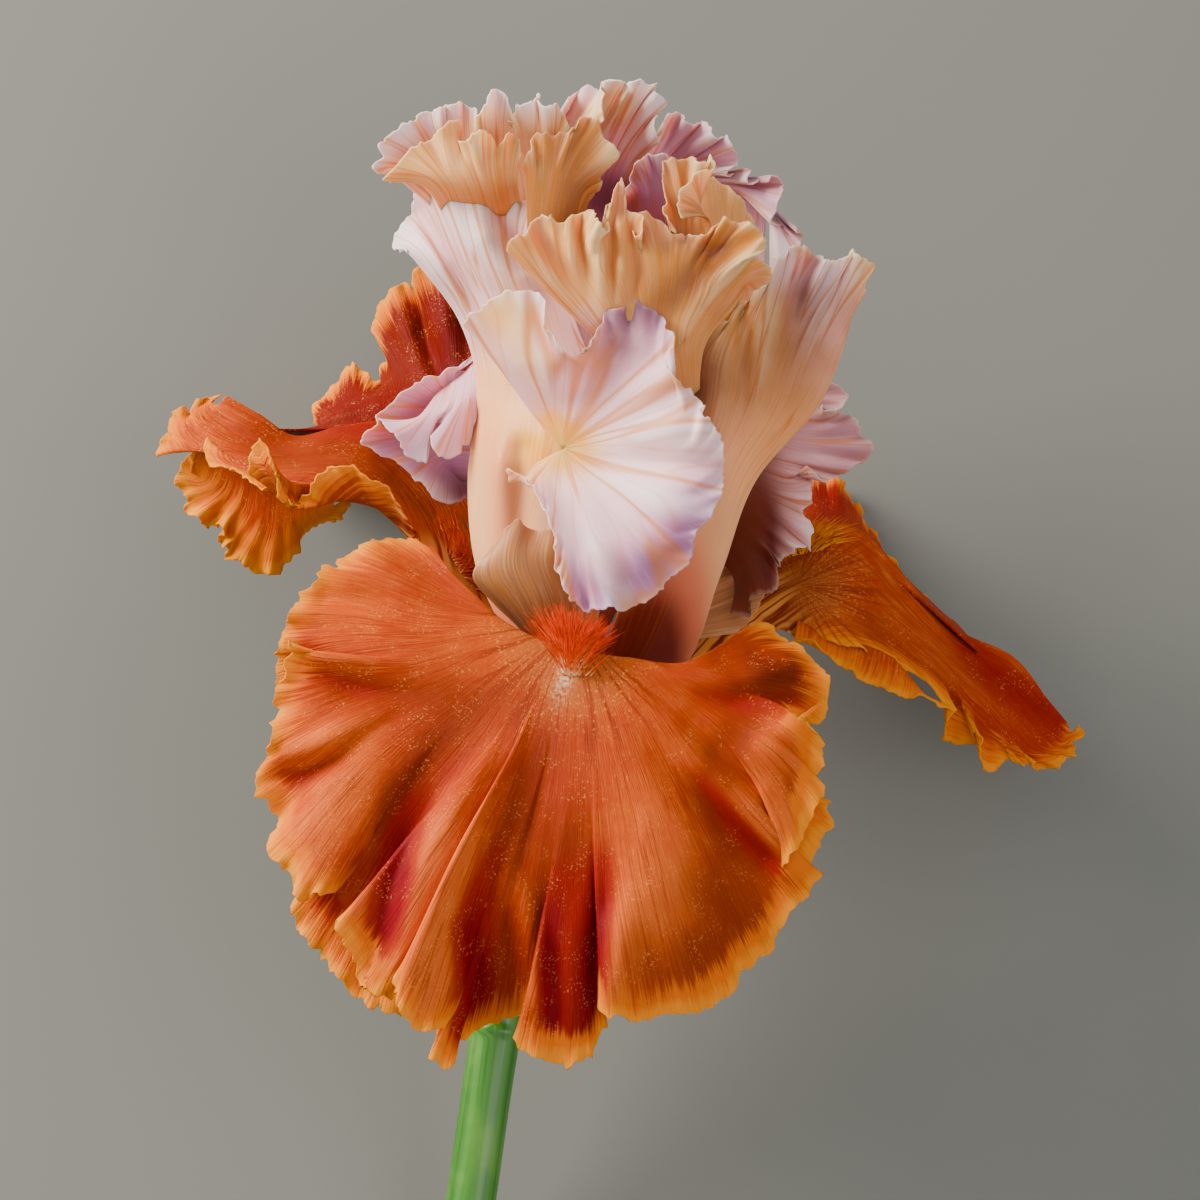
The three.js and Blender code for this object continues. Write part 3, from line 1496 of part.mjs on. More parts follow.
// The flower lies on its back, with the middle of its box's underside at the origin.
flower.rotation.set(THREE.MathUtils.degToRad(LIE_TILT), THREE.MathUtils.degToRad(LIE_ROLL), 0, "XYZ");
const group = new THREE.Group();
group.add(flower);
group.updateMatrixWorld(true);
const box = new THREE.Box3().setFromObject(flower, true);
flower.position.set(-(box.min.x + box.max.x) / 2, -(box.min.y + box.max.y) / 2, -box.min.z);

export default group;
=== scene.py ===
# A tall bearded iris, lying as picked: fine petals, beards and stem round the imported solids.
# Petals are drawn in millimetres in the flower's own frame (X across, Y up the stem, Z out of its
# front) and then laid down as the solids are, in metres.
import math

import bpy
import numpy as np
from mathutils import Matrix, Vector


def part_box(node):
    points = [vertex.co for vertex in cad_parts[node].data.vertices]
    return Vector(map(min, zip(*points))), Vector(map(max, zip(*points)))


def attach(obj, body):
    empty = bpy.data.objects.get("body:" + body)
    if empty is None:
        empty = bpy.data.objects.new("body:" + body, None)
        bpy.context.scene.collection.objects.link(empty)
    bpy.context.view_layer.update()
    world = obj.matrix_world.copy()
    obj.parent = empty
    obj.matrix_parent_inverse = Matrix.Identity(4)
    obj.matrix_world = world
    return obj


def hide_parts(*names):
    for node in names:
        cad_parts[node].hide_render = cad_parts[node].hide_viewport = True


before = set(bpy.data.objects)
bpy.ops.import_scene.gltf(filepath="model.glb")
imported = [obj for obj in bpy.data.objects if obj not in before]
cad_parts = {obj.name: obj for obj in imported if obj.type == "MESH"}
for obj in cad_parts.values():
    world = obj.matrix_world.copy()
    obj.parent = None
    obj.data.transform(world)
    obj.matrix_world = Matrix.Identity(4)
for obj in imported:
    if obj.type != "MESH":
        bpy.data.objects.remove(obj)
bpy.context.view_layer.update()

MM = 0.001
LIE_TILT = 19.7  # degrees by which the bloom's top is raised
LIE_ROLL = -2.6  # degrees round the stem
STEM_RADIUS = 4.3
COLLAR_RADIUS = 4.75
COLLAR_HEIGHT = -65.0
OVARY_RADIUS = 5.0
TUBE_RADIUS = 5.9
TUBE_TOP = np.array([-7.5, -13.0, 0.0])
TUBE_AXIS = np.array([0.19, 0.98, 0.0])
OVARY_LENGTH = 38.7  # ovary and perianth tube together
# radius and height up the ovary and its tube
OVARY_PROFILE = [[3.4, 0], [4.6, 5], [OVARY_RADIUS, 12], [4.5, 20], [3.9, 26], [4.4, 32]]
OVARY_PROFILE.append([TUBE_RADIUS, OVARY_LENGTH])
PETAL_RING = 4.9
STYLE_RING = 2.3
STAMEN_RING = 3.5
ROOT_HALF_ARC = 25
STYLE_HALF_ARC = 50
ROOT_LIFT = 0.7  # a petal's root over the tube's top
STEM_PATH = [[-25.6, -118, 0], [-22, -93.5, 0], [-17.7, -64.5, 0], [-14.9, -51.35, 0]]
STEM_SIDES = 72
TILT = Matrix.Rotation(math.radians(LIE_TILT), 3, "X")
LIE = np.array(TILT @ Matrix.Rotation(math.radians(LIE_ROLL), 3, "Y"))
TIP = np.array([1.0])  # the place of a net's last row


# ---- curves and surfaces -----------------------------------------------------------------------


def hermite(p, p_slope, q, q_slope, f, span):
    f2 = f * f
    f3 = f2 * f
    start = p * (2 * f3 - 3 * f2 + 1) + p_slope * (f3 - 2 * f2 + f) * span
    return start + q * (3 * f2 - 2 * f3) + q_slope * (f3 - f2) * span


def curve_through(points):
    """A smooth curve through points, as a function of places from 0 to 1 along their chord."""
    points = np.asarray(points, dtype=float)
    steps = np.maximum(np.linalg.norm(np.diff(points, axis=0), axis=1), 1e-6)
    knots = np.concatenate([[0.0], np.cumsum(steps)])
    last = len(points) - 1
    below = np.maximum(np.arange(last + 1) - 1, 0)
    above = np.minimum(np.arange(last + 1) + 1, last)
    slopes = (points[above] - points[below]) / (knots[above] - knots[below])[:, None]

    def at(t):
        s = np.asarray(t, dtype=float) * knots[-1]
        i = np.clip(np.searchsorted(knots, s, side="right") - 1, 0, last - 1)
        span = (knots[i + 1] - knots[i])[:, None]
        f = (s - knots[i])[:, None] / span
        return hermite(points[i], slopes[i], points[i + 1], slopes[i + 1], f, span)

    return at


def row_curve(row):
    """A row of a petal's net. Its middle point, where it has one, is at 0.5."""
    points = row["points"]
    middle = row.get("middle")
    if middle is None:
        return curve_through(points)
    first = curve_through(points[: middle + 1])
    second = curve_through(points[middle:])

    def at(u):
        u = np.asarray(u, dtype=float)
        return np.where((u < 0.5)[:, None], first(np.minimum(u * 2, 1)), second(np.maximum(u * 2 - 1, 0)))

    return at


def net_surface(rows, us, vs):
    """The smooth surface through the rows, as an array of vs by us by 3."""
    points = np.stack([row_curve(r)(us) for r in rows])
    last = len(rows) - 1
    slopes = np.empty_like(points)
    slopes[0] = points[1] - points[0]
    slopes[-1] = points[-1] - points[-2]
    slopes[1:-1] = (points[2:] - points[:-2]) / 2
    i = np.minimum((np.asarray(vs) * last).astype(int), last - 1)
    f = (np.asarray(vs) * last - i)[:, None, None]
    return hermite(points[i], slopes[i], points[i + 1], slopes[i + 1], f, 1.0)


def fold_height(folds, t):
    """Height of the folds at t, from a list of [place, height], level at each crest and trough."""
    folds = np.asarray(folds, dtype=float)
    t = np.clip(t, folds[0, 0], folds[-1, 0])
    i = np.clip(np.searchsorted(folds[:, 0], t, side="right") - 1, 0, len(folds) - 2)
    f = (t - folds[i, 0]) / (folds[i + 1, 0] - folds[i, 0])
    return folds[i, 1] + (folds[i + 1, 1] - folds[i, 1]) * (1 - np.cos(math.pi * f)) / 2


def fade(w, reach):
    """How much of a fold is left at depth w: all of it at the rim, none past its reach."""
    return np.clip(1 - w / reach, 0, 1) ** 1.6


def unit(vectors):
    return vectors / np.maximum(np.linalg.norm(vectors, axis=-1, keepdims=True), 1e-9)


def smooth(low, high, x):
    f = np.clip((x - low) / (high - low), 0, 1)
    return f * f * (3 - 2 * f)


def wander(s, wavelength, seed):
    """A smooth seeded wobble along s, about -1 to 1."""
    draw = np.random.default_rng(seed)
    s = np.asarray(s, dtype=float) / wavelength
    count = int(s.max()) + 3
    values = draw.uniform(-1, 1, count)
    places = np.arange(count) + draw.uniform(-0.28, 0.28, count)
    i = np.clip(np.searchsorted(places, s, side="right") - 1, 0, count - 2)
    f = np.clip((s - places[i]) / (places[i + 1] - places[i]), 0, 1)
    return values[i] + (values[i + 1] - values[i]) * (1 - np.cos(math.pi * f)) / 2


def stroke_height(points, path, left, right=None):
    """Height at each point of a soft stroke along a path of (x, y, height) seen from the front.

    It falls off over left mm to the left of the way the path runs and over right mm to its right.
    """
    flat = points[..., :2].reshape(-1, 2)
    path = np.asarray(path, dtype=float)
    nearest = np.full(len(flat), np.inf)
    height = np.zeros(len(flat))
    side = np.zeros(len(flat))
    for a, b in zip(path[:-1], path[1:]):
        way = b[:2] - a[:2]
        f = np.clip((flat - a[:2]) @ way / (way @ way), 0, 1)
        off = flat - a[:2] - f[:, None] * way
        distance = np.hypot(off[:, 0], off[:, 1])
        closer = distance < nearest
        nearest = np.where(closer, distance, nearest)
        height = np.where(closer, a[2] + f * (b[2] - a[2]), height)
        side = np.where(closer, way[0] * off[:, 1] - way[1] * off[:, 0], side)
    width = np.where(side > 0, left, left if right is None else right)
    return (height * np.exp(-((nearest / width) ** 2))).reshape(points.shape[:2])


def strokes_height(points, strokes, ground=0.0):
    return ground + sum(stroke_height(points, *stroke) for stroke in strokes)


def steady_through(knots, values):
    """A curve through values at knots that never turns back between two of them."""
    knots, values = np.asarray(knots, dtype=float), np.asarray(values, dtype=float)
    rates = np.diff(values) / np.diff(knots)
    before, after = np.concatenate([rates[:1], rates]), np.concatenate([rates, rates[-1:]])
    product = before * after
    slopes = np.where(product > 0, 2 * product / np.where(before + after == 0, 1, before + after), 0)

    def at(t):
        i = np.clip(np.searchsorted(knots, t, side="right") - 1, 0, len(knots) - 2)
        span = knots[i + 1] - knots[i]
        return hermite(values[i], slopes[i], values[i + 1], slopes[i + 1], (t - knots[i]) / span, span)

    return at


def drawn(ply):
    return "rim" in ply or "edge" in ply


def drawn_rim(ply, us):
    """A drawn rim at us: its places on the smooth ply, its points, and how deep it reaches in.

    A rim lists [place, x, y, z, reach], or [place] where it stays on the smooth ply. An edge lists
    [x, y, z] and has its places in step with its length.
    """
    usual = ply.get("reach", 0.45)
    if "edge" in ply:
        targets = np.array(ply["edge"], dtype=float)
        reaches = [usual] * len(targets)
    else:
        rim = ply["rim"]
        reaches = [entry[4] if len(entry) > 4 else usual for entry in rim]
        own = net_surface(ply["rows"], np.array([entry[0] for entry in rim], dtype=float), TIP)[0]
        targets = [entry[1:4] if len(entry) > 1 else point for entry, point in zip(rim, own)]
        targets = np.array(targets, dtype=float)
    knots = np.concatenate([[0], np.cumsum(np.linalg.norm(np.diff(targets, axis=0), axis=1))])
    knots /= knots[-1]
    places = knots if "edge" in ply else [entry[0] for entry in ply["rim"]]
    places = np.clip(steady_through(knots, places)(us), 0, 1)
    return places, curve_through(targets)(us), steady_through(knots, reaches)(us)


def drawn_surface(ply, us, vs):
    """A ply pulled to its drawn rim, and how far each point is drawn towards its shown side."""
    places, rim, reach = drawn_rim(ply, us)
    pull = rim - net_surface(ply["rows"], places, TIP)[0]
    share = fade(1 - np.asarray(vs)[:, None], reach[None, :])
    base = net_surface(ply["rows"], places, vs)
    _, _, normal = grid_frame(base)
    points = base + pull[None] * share[..., None]
    return points, (pull[None] * normal).sum(-1) * share * ply.get("face", 1)


def tip_folded_surface(ply, us, vs):
    """A ply with folds across its tip, and their height at each point."""
    step = 0.004
    lean = 0.7

    def height(u):
        return fold_height(ply["tip"], u)[None, :] * fade(1 - vs, ply["reach"])[:, None]

    u0, u1 = np.maximum(us - step, 0), np.minimum(us + step, 1)
    v0, v1 = np.maximum(vs - step, 0), np.minimum(vs + step, 1)
    du = (u1 - u0)[None, :, None]
    dv = (v1 - v0)[:, None, None]
    base = net_surface(ply["rows"], us, vs)
    across = (net_surface(ply["rows"], u1, vs) - net_surface(ply["rows"], u0, vs)) / du
    along = (net_surface(ply["rows"], us, v1) - net_surface(ply["rows"], us, v0)) / dv
    normal = unit(np.cross(across, along))
    h = height(us)
    slope = (height(u1) - height(u0)) / du[..., 0] / np.maximum(np.linalg.norm(across, axis=-1), 6)
    return base + normal * h[..., None] - unit(across) * (lean * h * slope)[..., None], h


def folded_surface(ply, us, vs):
    """The ply's surface with its main folds, and the folds' height at each point."""
    if drawn(ply):
        return drawn_surface(ply, us, vs)
    if "tip" in ply:
        return tip_folded_surface(ply, us, vs)
    return net_surface(ply["rows"], us, vs), np.zeros((len(vs), len(us)))


def lengths(points, axis):
    """Distances along one way of a grid of points, from its start."""
    steps = np.linalg.norm(np.diff(points, axis=axis), axis=-1)
    total = np.cumsum(steps, axis=axis)
    shape = list(total.shape)
    shape[axis] = 1
    return np.concatenate([np.zeros(shape), total], axis=axis)


def grid_frame(points):
    """Unit directions across and along a grid of points, and its normal."""
    across = unit(np.gradient(points, axis=1))
    along = unit(np.gradient(points, axis=0))
    return across, along, unit(np.cross(across, along))


# ---- rows of the petals' nets ------------------------------------------------------------------

tube_up = TUBE_AXIS / np.linalg.norm(TUBE_AXIS)
tube_front = np.array([0.0, 0.0, 1.0])
tube_right = unit(np.cross(tube_up, tube_front))


def on_tube(degrees, radius, height):
    angle = math.radians(degrees)
    out = TUBE_TOP + tube_right * (radius * math.sin(angle)) + tube_front * (radius * math.cos(angle))
    return out + tube_up * height


def root_row(degrees, radius, half_arc):
    points = [on_tube(degrees + side * half_arc, radius, ROOT_LIFT).tolist() for side in (-1, 0, 1)]
    return {"middle": 1, "points": points}


def root_at(degrees):
    return on_tube(degrees, PETAL_RING, ROOT_LIFT).tolist()


def row(*points):
    return {"points": points}


def row_about(middle, *points):
    return {"middle": middle, "points": points}


def bract_row(y, radius, middle, half_spread):
    """A row of a bract round the ovary, half_spread degrees to each side of its middle."""
    low, high = np.array(STEM_PATH[2], dtype=float), TUBE_TOP
    centre = low + (high - low) * (y - low[1]) / (high[1] - low[1])
    angles = np.radians(middle + np.array([-1, -0.6, -0.2, 0.2, 0.6, 1]) * half_spread)
    points = [[centre[0] + radius * math.sin(a), centre[1], centre[2] + radius * math.cos(a)] for a in angles]
    return {"points": points}


# The front fall: from the tube over the heart under the beard, then fanned out down the front.
FALL_FRONT = [
    {
        "face": -1, "reach": 0.3,
        "rows": [
            root_row(0, PETAL_RING, ROOT_HALF_ARC),
            row_about(1, [-12.5, -5, 10], [-7, -7.5, 12], [-1.5, -5, 10]),
            row_about(1, [-14.5, 1, 18.5], [-6, -3, 22], [3, -1.5, 18.5]),
            row_about(2, [-18, 6, 24.5], [-11, 1, 28.5], [-5, -1.5, 30], [3, -2, 29], [13, -2.5, 25]),
            row_about(
                4, [-25, 13, 21], [-28, 4, 28], [-24, -9, 35], [-14, -17, 38.5], [-5, -19, 40],
                [5, -17, 38.5], [16, -12, 33.5], [22, -5, 28], [20, 0.5, 23],
            ),
            row_about(
                6, [-28, 17, 17], [-38, 11, 24], [-42, 0, 30], [-41, -14, 35], [-34, -28, 39],
                [-21, -38, 43], [-6, -41, 45.5], [8, -39, 44], [19, -33, 40], [27, -23, 36],
                [30.5, -11, 31], [29, -2, 26], [24, 3.5, 20],
            ),
            row_about(
                15, [-30, 19, 13], [-36, 18.5, 17], [-42, 15.5, 20], [-48, 10, 24], [-53, 3, 27],
                [-54.5, -6, 30], [-55.5, -16, 32], [-56, -26, 33], [-54, -36, 34], [-50, -45, 35],
                [-44, -53, 37], [-37, -59.5, 39], [-30, -63, 41], [-22, -64, 43], [-13, -63.5, 45],
                [-5, -63.5, 46], [3, -61.5, 45], [12, -60.5, 43], [20, -57, 40], [27, -50, 37],
                [33, -43, 35], [36.5, -35, 32], [38, -26, 30], [37.5, -17, 28], [37.5, -9, 26],
                [36, -3, 23], [31, 1.5, 19], [26, 4.5, 16],
            ),
        ],
        "rim": [
            [0, -30, 19, 13], [0.03, -38, 19, 18], [0.055, -43.5, 15.5, 19], [0.08, -47.5, 12.5, 24],
            [0.105, -50.5, 9, 25], [0.13, -53.5, 3.5, 24], [0.15, -54.8, -3, 22.5], [0.16, -54, -9, 22.5],
            [0.165, -51, -6, 24.5], [0.175, -51.5, 1.5, 30.5], [0.19, -54, -7, 31.5],
            [0.21, -55.5, -16, 32], [0.228, -57.8, -23.5, 34.5], [0.24, -54.5, -27, 32],
            [0.255, -55, -34, 34.5], [0.268, -52, -37.5, 36], [0.277, -50, -41, 38],
            [0.287, -46.5, -40.5, 39], [0.293, -43, -39.5, 38], [0.298, -43, -42, 33.5],
            [0.303, -48.5, -40.5, 31.5], [0.308, -51.5, -43, 32], [0.32, -49.5, -48.5, 34],
            [0.332, -46, -52, 35], [0.345, -41.5, -57, 36], [0.355, -37, -60, 36.5],
            [0.36, -33, -60.5, 37], [0.362, -32, -57, 38.5], [0.364, -38, -50, 40],
            [0.368, -43.7, -45.5, 44.5, 0.38], [0.376, -42, -49, 44.5, 0.36], [0.384, -40.5, -54, 44],
            [0.39, -37, -57, 44], [0.396, -33.5, -57.5, 43], [0.399, -30, -55, 41.5],
            [0.402, -32, -52, 43.5, 0.36], [0.406, -34, -56.5, 48, 0.42], [0.415, -31, -62, 47.5, 0.38],
            [0.43, -26, -62.7, 46], [0.437, -24.6, -62, 43.5], [0.441, -26.5, -65, 43],
            [0.444, -28.6, -67, 43.5], [0.447, -25.6, -69.3, 43], [0.451, -23.5, -64.8, 41.5],
            [0.462, -19.5, -63, 39.5, 0.38], [0.475, -14.5, -61.3, 40], [0.487, -8.5, -58.8, 42.5],
            [0.493, -10, -60, 46], [0.497, -14, -64.5, 47.5], [0.503, -11.5, -67.5, 47.5],
            [0.51, -8, -68.6, 46.5], [0.518, -4.5, -68.6, 45.5], [0.525, -2.2, -67, 45],
            [0.531, 0, -63.5, 43.5], [0.537, 2.8, -60, 41], [0.541, 3.2, -57.5, 42.5],
            [0.547, 0.3, -59.5, 47, 0.36], [0.56, 5, -61.2, 47], [0.59, 11, -60.8, 45],
            [0.62, 17, -60, 43], [0.645, 21.5, -57, 41], [0.665, 24.5, -53, 40], [0.69, 28.5, -50, 39],
            [0.71, 31, -45, 38], [0.73, 34, -41, 36.5], [0.75, 36.8, -38, 35], [0.764, 33.5, -36.3, 33],
            [0.768, 36, -34, 31], [0.78, 38.8, -29, 30], [0.788, 38.3, -25.5, 30.5],
            [0.793, 34.5, -28, 32.5], [0.8, 31.5, -35.8, 37, 0.36], [0.81, 34, -31, 36.5],
            [0.82, 35.5, -27.5, 36], [0.83, 38, -23.5, 35], [0.84, 35.3, -21.8, 33.5],
            [0.845, 33.8, -20.6, 33], [0.85, 36.5, -20.3, 33.5], [0.86, 37.9, -17, 33],
            [0.87, 36.3, -13.8, 32], [0.88, 33, -11.6, 31.5], [0.885, 30.5, -14.5, 28],
            [0.89, 33.5, -13, 25.5], [0.9, 37.3, -11, 25], [0.92, 39, -7, 25], [0.935, 38, -3.5, 24],
            [0.955, 34.5, -0.5, 22], [0.97, 32.5, 1.5, 20], [0.985, 29, 3.8, 18], [1, 26, 4.5, 16],
        ],
    },
]

# The left fall: its rows run from the tube to the tip, from the far side of the midrib to the near rim,
# which is turned back along the haft. A lobe hangs behind the tip, and the far half stands behind.
FALL_LEFT = [
    {
        "reach": 0.3,
        "rows": [
            row(
                root_at(-145), [-12, -1, -9], [-16, 13, -14], [-25, 30, -24], [-37, 39, -28],
                [-45, 38.5, -24], [-53, 36.8, -20], [-59, 40.5, -21], [-65, 44, -22.5],
            ),
            row(
                root_at(-128), [-14, -2.5, -7], [-19.5, 9, -10.5], [-28, 24, -15], [-39, 33, -17],
                [-48, 34, -15], [-56, 35, -16], [-62, 38.5, -18.5], [-66, 42.5, -22],
            ),
            row(
                root_at(-112), [-15, -4, -5], [-21, 7, -8], [-29, 19, -9], [-39, 28.5, -8],
                [-48, 30.5, -7], [-56, 31.5, -11], [-64, 36, -17], [-68, 39, -20.5], [-67, 42.5, -22.5],
            ),
            row(
                root_at(-99), [-15.3, -5, -3.5], [-22, 5.5, -6.5], [-31.5, 17.5, -6], [-38, 24.3, -2.5],
                [-44, 25.6, -1], [-50, 24.8, -1], [-56, 28, -7], [-64, 33, -14], [-71, 36, -20],
                [-72, 39.5, -22], [-67.5, 43, -23],
            ),
            row(
                root_at(-95), [-15.5, -6, -2.5], [-22.5, 4, -5], [-31, 20, -2], [-36, 27, 1.5],
                [-43, 31.5, 2.5], [-50, 27, 1], [-56, 27, -4], [-66, 32.5, -15], [-76.5, 35, -22],
                [-74, 40, -23], [-67, 44, -24],
            ),
        ],
        "rim": [
            [0], [0.1], [0.22], [0.3, -29.5, 16.5, -4.5], [0.325, -32.7, 19.3, -1.5],
            [0.34, -31.2, 20.6, -0.5], [0.365, -33, 23, 0.5], [0.4, -36, 27, 1.5], [0.43, -38.5, 29.2, 2],
            [0.465, -41.5, 30.8, 2.2], [0.49, -44, 31.6, 2.2], [0.515, -46.5, 30.8, 2.2],
            [0.54, -49, 28, 1.8], [0.56, -51.5, 25.2, 0], [0.575, -53.5, 24.8, 0.5], [0.59, -55.2, 26, 1],
            [0.6, -55, 28.8, 1.5], [0.61, -56.5, 32, 2.5], [0.62, -58.2, 36, 3.5, 0.5],
            [0.63, -59.3, 34.5, 0], [0.64, -60.3, 32, -2], [0.65, -59, 30.5, -4], [0.66, -56.5, 29.5, -6],
            [0.67, -58, 27, -3.5], [0.69, -61, 29.3, -8], [0.73, -64.5, 31.6, -12],
            [0.77, -68.2, 33.4, -15.5], [0.785, -68.2, 36, -18], [0.8, -70, 35.4, -20],
            [0.84, -73.5, 34.6, -21.5], [0.875, -76.7, 34, -22], [0.885, -76.4, 36.2, -22.5],
            [0.9, -75, 38, -22], [0.92, -74.6, 40.2, -23.5], [0.94, -72.6, 42.4, -23],
            [0.955, -71, 41.2, -24.5], [0.97, -69.5, 43, -23.5], [0.985, -67.8, 43.8, -24.5],
            [1, -66, 44.6, -24],
        ],
    },
    {
        "face": -1, "reach": 0.5,
        "rows": [
            row([-69, 37, -20], [-62, 35, -16], [-55, 31, -11], [-45, 28, -7]),
            row([-71, 31, -24], [-64, 27, -22], [-56, 23, -18], [-46, 24.5, -12]),
            row(
                [-71, 34, -23], [-73, 27, -28], [-68, 21, -29], [-61.5, 15, -28.5], [-55, 15, -25],
                [-50, 20, -21], [-44, 25, -15],
            ),
        ],
        "edge": [
            [-70, 35, -21], [-72.3, 32.5, -24], [-73.6, 28.6, -26], [-71.8, 26.8, -26.5],
            [-72.6, 24, -28], [-70, 22.5, -26], [-69, 21.3, -28.5], [-66.2, 21.5, -25],
            [-66.6, 18.8, -28], [-64.8, 17.6, -26.5], [-65.2, 15.8, -29], [-62.3, 15.2, -26.5],
            [-60.8, 13.2, -29], [-57.5, 13.2, -26], [-55.5, 14.3, -27], [-53.3, 15.8, -24],
            [-51.6, 18.8, -25], [-50.8, 20.8, -22], [-48, 21.5, -22], [-45, 22.6, -18],
            [-43.2, 23.7, -18], [-43.5, 26, -13],
        ],
    },
    {
        "reach": 0.45,
        "rows": [
            row([-24, 30, -22], [-36, 38, -27.5], [-46, 38, -23.5], [-56, 38, -19.5]),
            row([-22, 46, -34], [-33, 46, -40], [-43, 42, -40], [-53, 37, -33]),
            row(
                [-20, 57, -43], [-30, 64, -48], [-38, 59, -53], [-40, 50, -56], [-46, 47, -58],
                [-51, 41, -58], [-58, 35, -45],
            ),
        ],
        "edge": [
            [-21, 58, -42], [-24, 62, -44], [-27, 65.5, -43], [-31, 67.6, -45], [-33.3, 65.3, -46],
            [-32, 63.3, -50], [-34.5, 64.8, -52], [-38, 62.3, -51], [-39.7, 59, -54], [-40, 55, -52],
            [-37.3, 52.3, -54], [-38.7, 48.3, -57], [-36.5, 46.8, -56], [-39.7, 47.8, -51],
            [-42, 49.6, -53], [-44.3, 50, -55], [-46.3, 48, -57], [-47.3, 45.8, -56], [-50.2, 44.3, -59],
            [-50.7, 41, -57], [-50, 38.2, -59], [-54, 36, -55], [-59, 34, -44],
        ],
    },
]

# The right fall: rows from the tube to the tip, from the far side to the near rim, with a free ruffle
# along the near rim and the far half behind.
FALL_RIGHT = [
    {
        "face": -1, "reach": 0.3,
        "rows": [
            row(
                root_at(145), [4.5, -2.5, -10.5], [14, 9, -18], [31, 19, -24.5], [44, 21, -25.5],
                [53, 12.5, -27], [61, 3.8, -28], [72, -1.5, -30], [79, -10, -31], [81.5, -13, -31],
            ),
            row(
                root_at(128), [3.8, -5.5, -8.5], [14.8, 4, -14.5], [29.5, 14, -19], [41, 15.5, -18],
                [50, 8, -19], [59, 1, -22], [69.5, -5.5, -25.5], [78, -12.5, -29], [82, -14, -30.5],
            ),
            row(
                root_at(112), [3.2, -6.5, -7], [14, 0.5, -11.5], [28, 9, -14], [38, 7, -11.5],
                [47.5, 2.5, -12.5], [57, -2.5, -16], [66.5, -10, -20], [74, -16.5, -25], [79, -17, -28],
                [82.5, -14.5, -30.5],
            ),
            row(
                root_at(95), [1.5, -7.5, -4], [12, -4, -8], [26, 3.5, -11], [36, 1.5, -9], [44, 0, -9],
                [51, -1.5, -11], [56, -5.5, -13], [61, -11, -15], [66, -18, -20], [74, -20.5, -25],
                [80, -19, -28], [84, -14, -31],
            ),
        ],
        "rim": [
            [0], [0.1], [0.22], [0.33], [0.42], [0.5], [0.56], [0.62], [0.68, 60, -9.3, -13.2],
            [0.695, 61.5, -11, -16.5], [0.7, 60, -13.5, -18.5], [0.71, 60.2, -16.3, -20],
            [0.72, 63, -16.3, -21], [0.73, 65.5, -16.8, -20.5], [0.738, 64.5, -14, -16],
            [0.75, 66.8, -16, -15.5], [0.77, 66.6, -19.5, -18.5], [0.785, 68, -21.6, -20.5],
            [0.8, 70, -20.2, -22.5], [0.82, 72.5, -19.7, -21], [0.84, 74, -20.6, -25],
            [0.86, 75.8, -19.6, -23.5], [0.875, 77, -21.2, -27.5], [0.9, 80, -20.5, -26],
            [0.92, 81, -19, -29.5], [0.94, 83.2, -18.6, -28], [0.955, 82.6, -17, -31],
            [0.975, 84.5, -15, -29.5], [1, 84, -13, -31],
        ],
    },
    {
        "face": -1, "reach": 0.7,
        "rows": [
            row(
                [34, 5, -10], [40, 2, -9.5], [46, 0.5, -9.7], [50, -1.3, -10], [53, -4.3, -10.5],
                [56, -7.8, -12], [60.5, -9.8, -14.5],
            ),
            row(
                [33.5, 2, -7.5], [40, -1, -7], [46, -3, -6.8], [50, -4.5, -7.5], [53.5, -6.8, -8.5],
                [57, -8.6, -10.5], [60.5, -10.2, -14],
            ),
            row([33, 0, -7], [39, -1, -5.5], [47, -6, -5], [54, -8.2, -7], [60.5, -10.6, -13.5]),
        ],
        "edge": [
            [33, 1, -7], [36.5, 1.5, -5], [38.5, -0.5, -4.5], [41.5, -3, -6], [44.5, -4.5, -4],
            [47, -6.3, -5.5], [50, -7.2, -4.5], [53, -8.3, -7], [55, -7.8, -7], [57, -8.8, -10],
            [60.5, -10.6, -13.8],
        ],
    },
    {
        "reach": 0.45,
        "rows": [
            row([24, 14, -19.5], [38, 19.5, -22], [52, 11.5, -24], [66, -0.5, -26]),
            row([24, 22, -35], [38, 23.5, -38], [52, 13, -40], [66, 1, -35]),
            row(
                [20, 22, -49], [28, 27, -54], [36, 30.5, -57], [41.5, 30.2, -58], [45, 27, -58],
                [48.5, 21, -56], [53, 14, -53], [60, 7, -48], [68, 0, -40],
            ),
        ],
        "edge": [
            [20, 22, -49], [27, 26.5, -53], [34, 30, -57], [37, 30.6, -54], [40, 30.5, -58],
            [42.3, 29.5, -56], [44, 28, -59], [45.8, 25.3, -57], [45.6, 23, -55], [47.6, 21.8, -57.5],
            [49.4, 19.5, -55], [50, 17, -53], [52.3, 14.8, -54], [54, 12, -50], [59, 6.5, -49],
            [64, 2, -42], [68, -1, -38],
        ],
    },
]

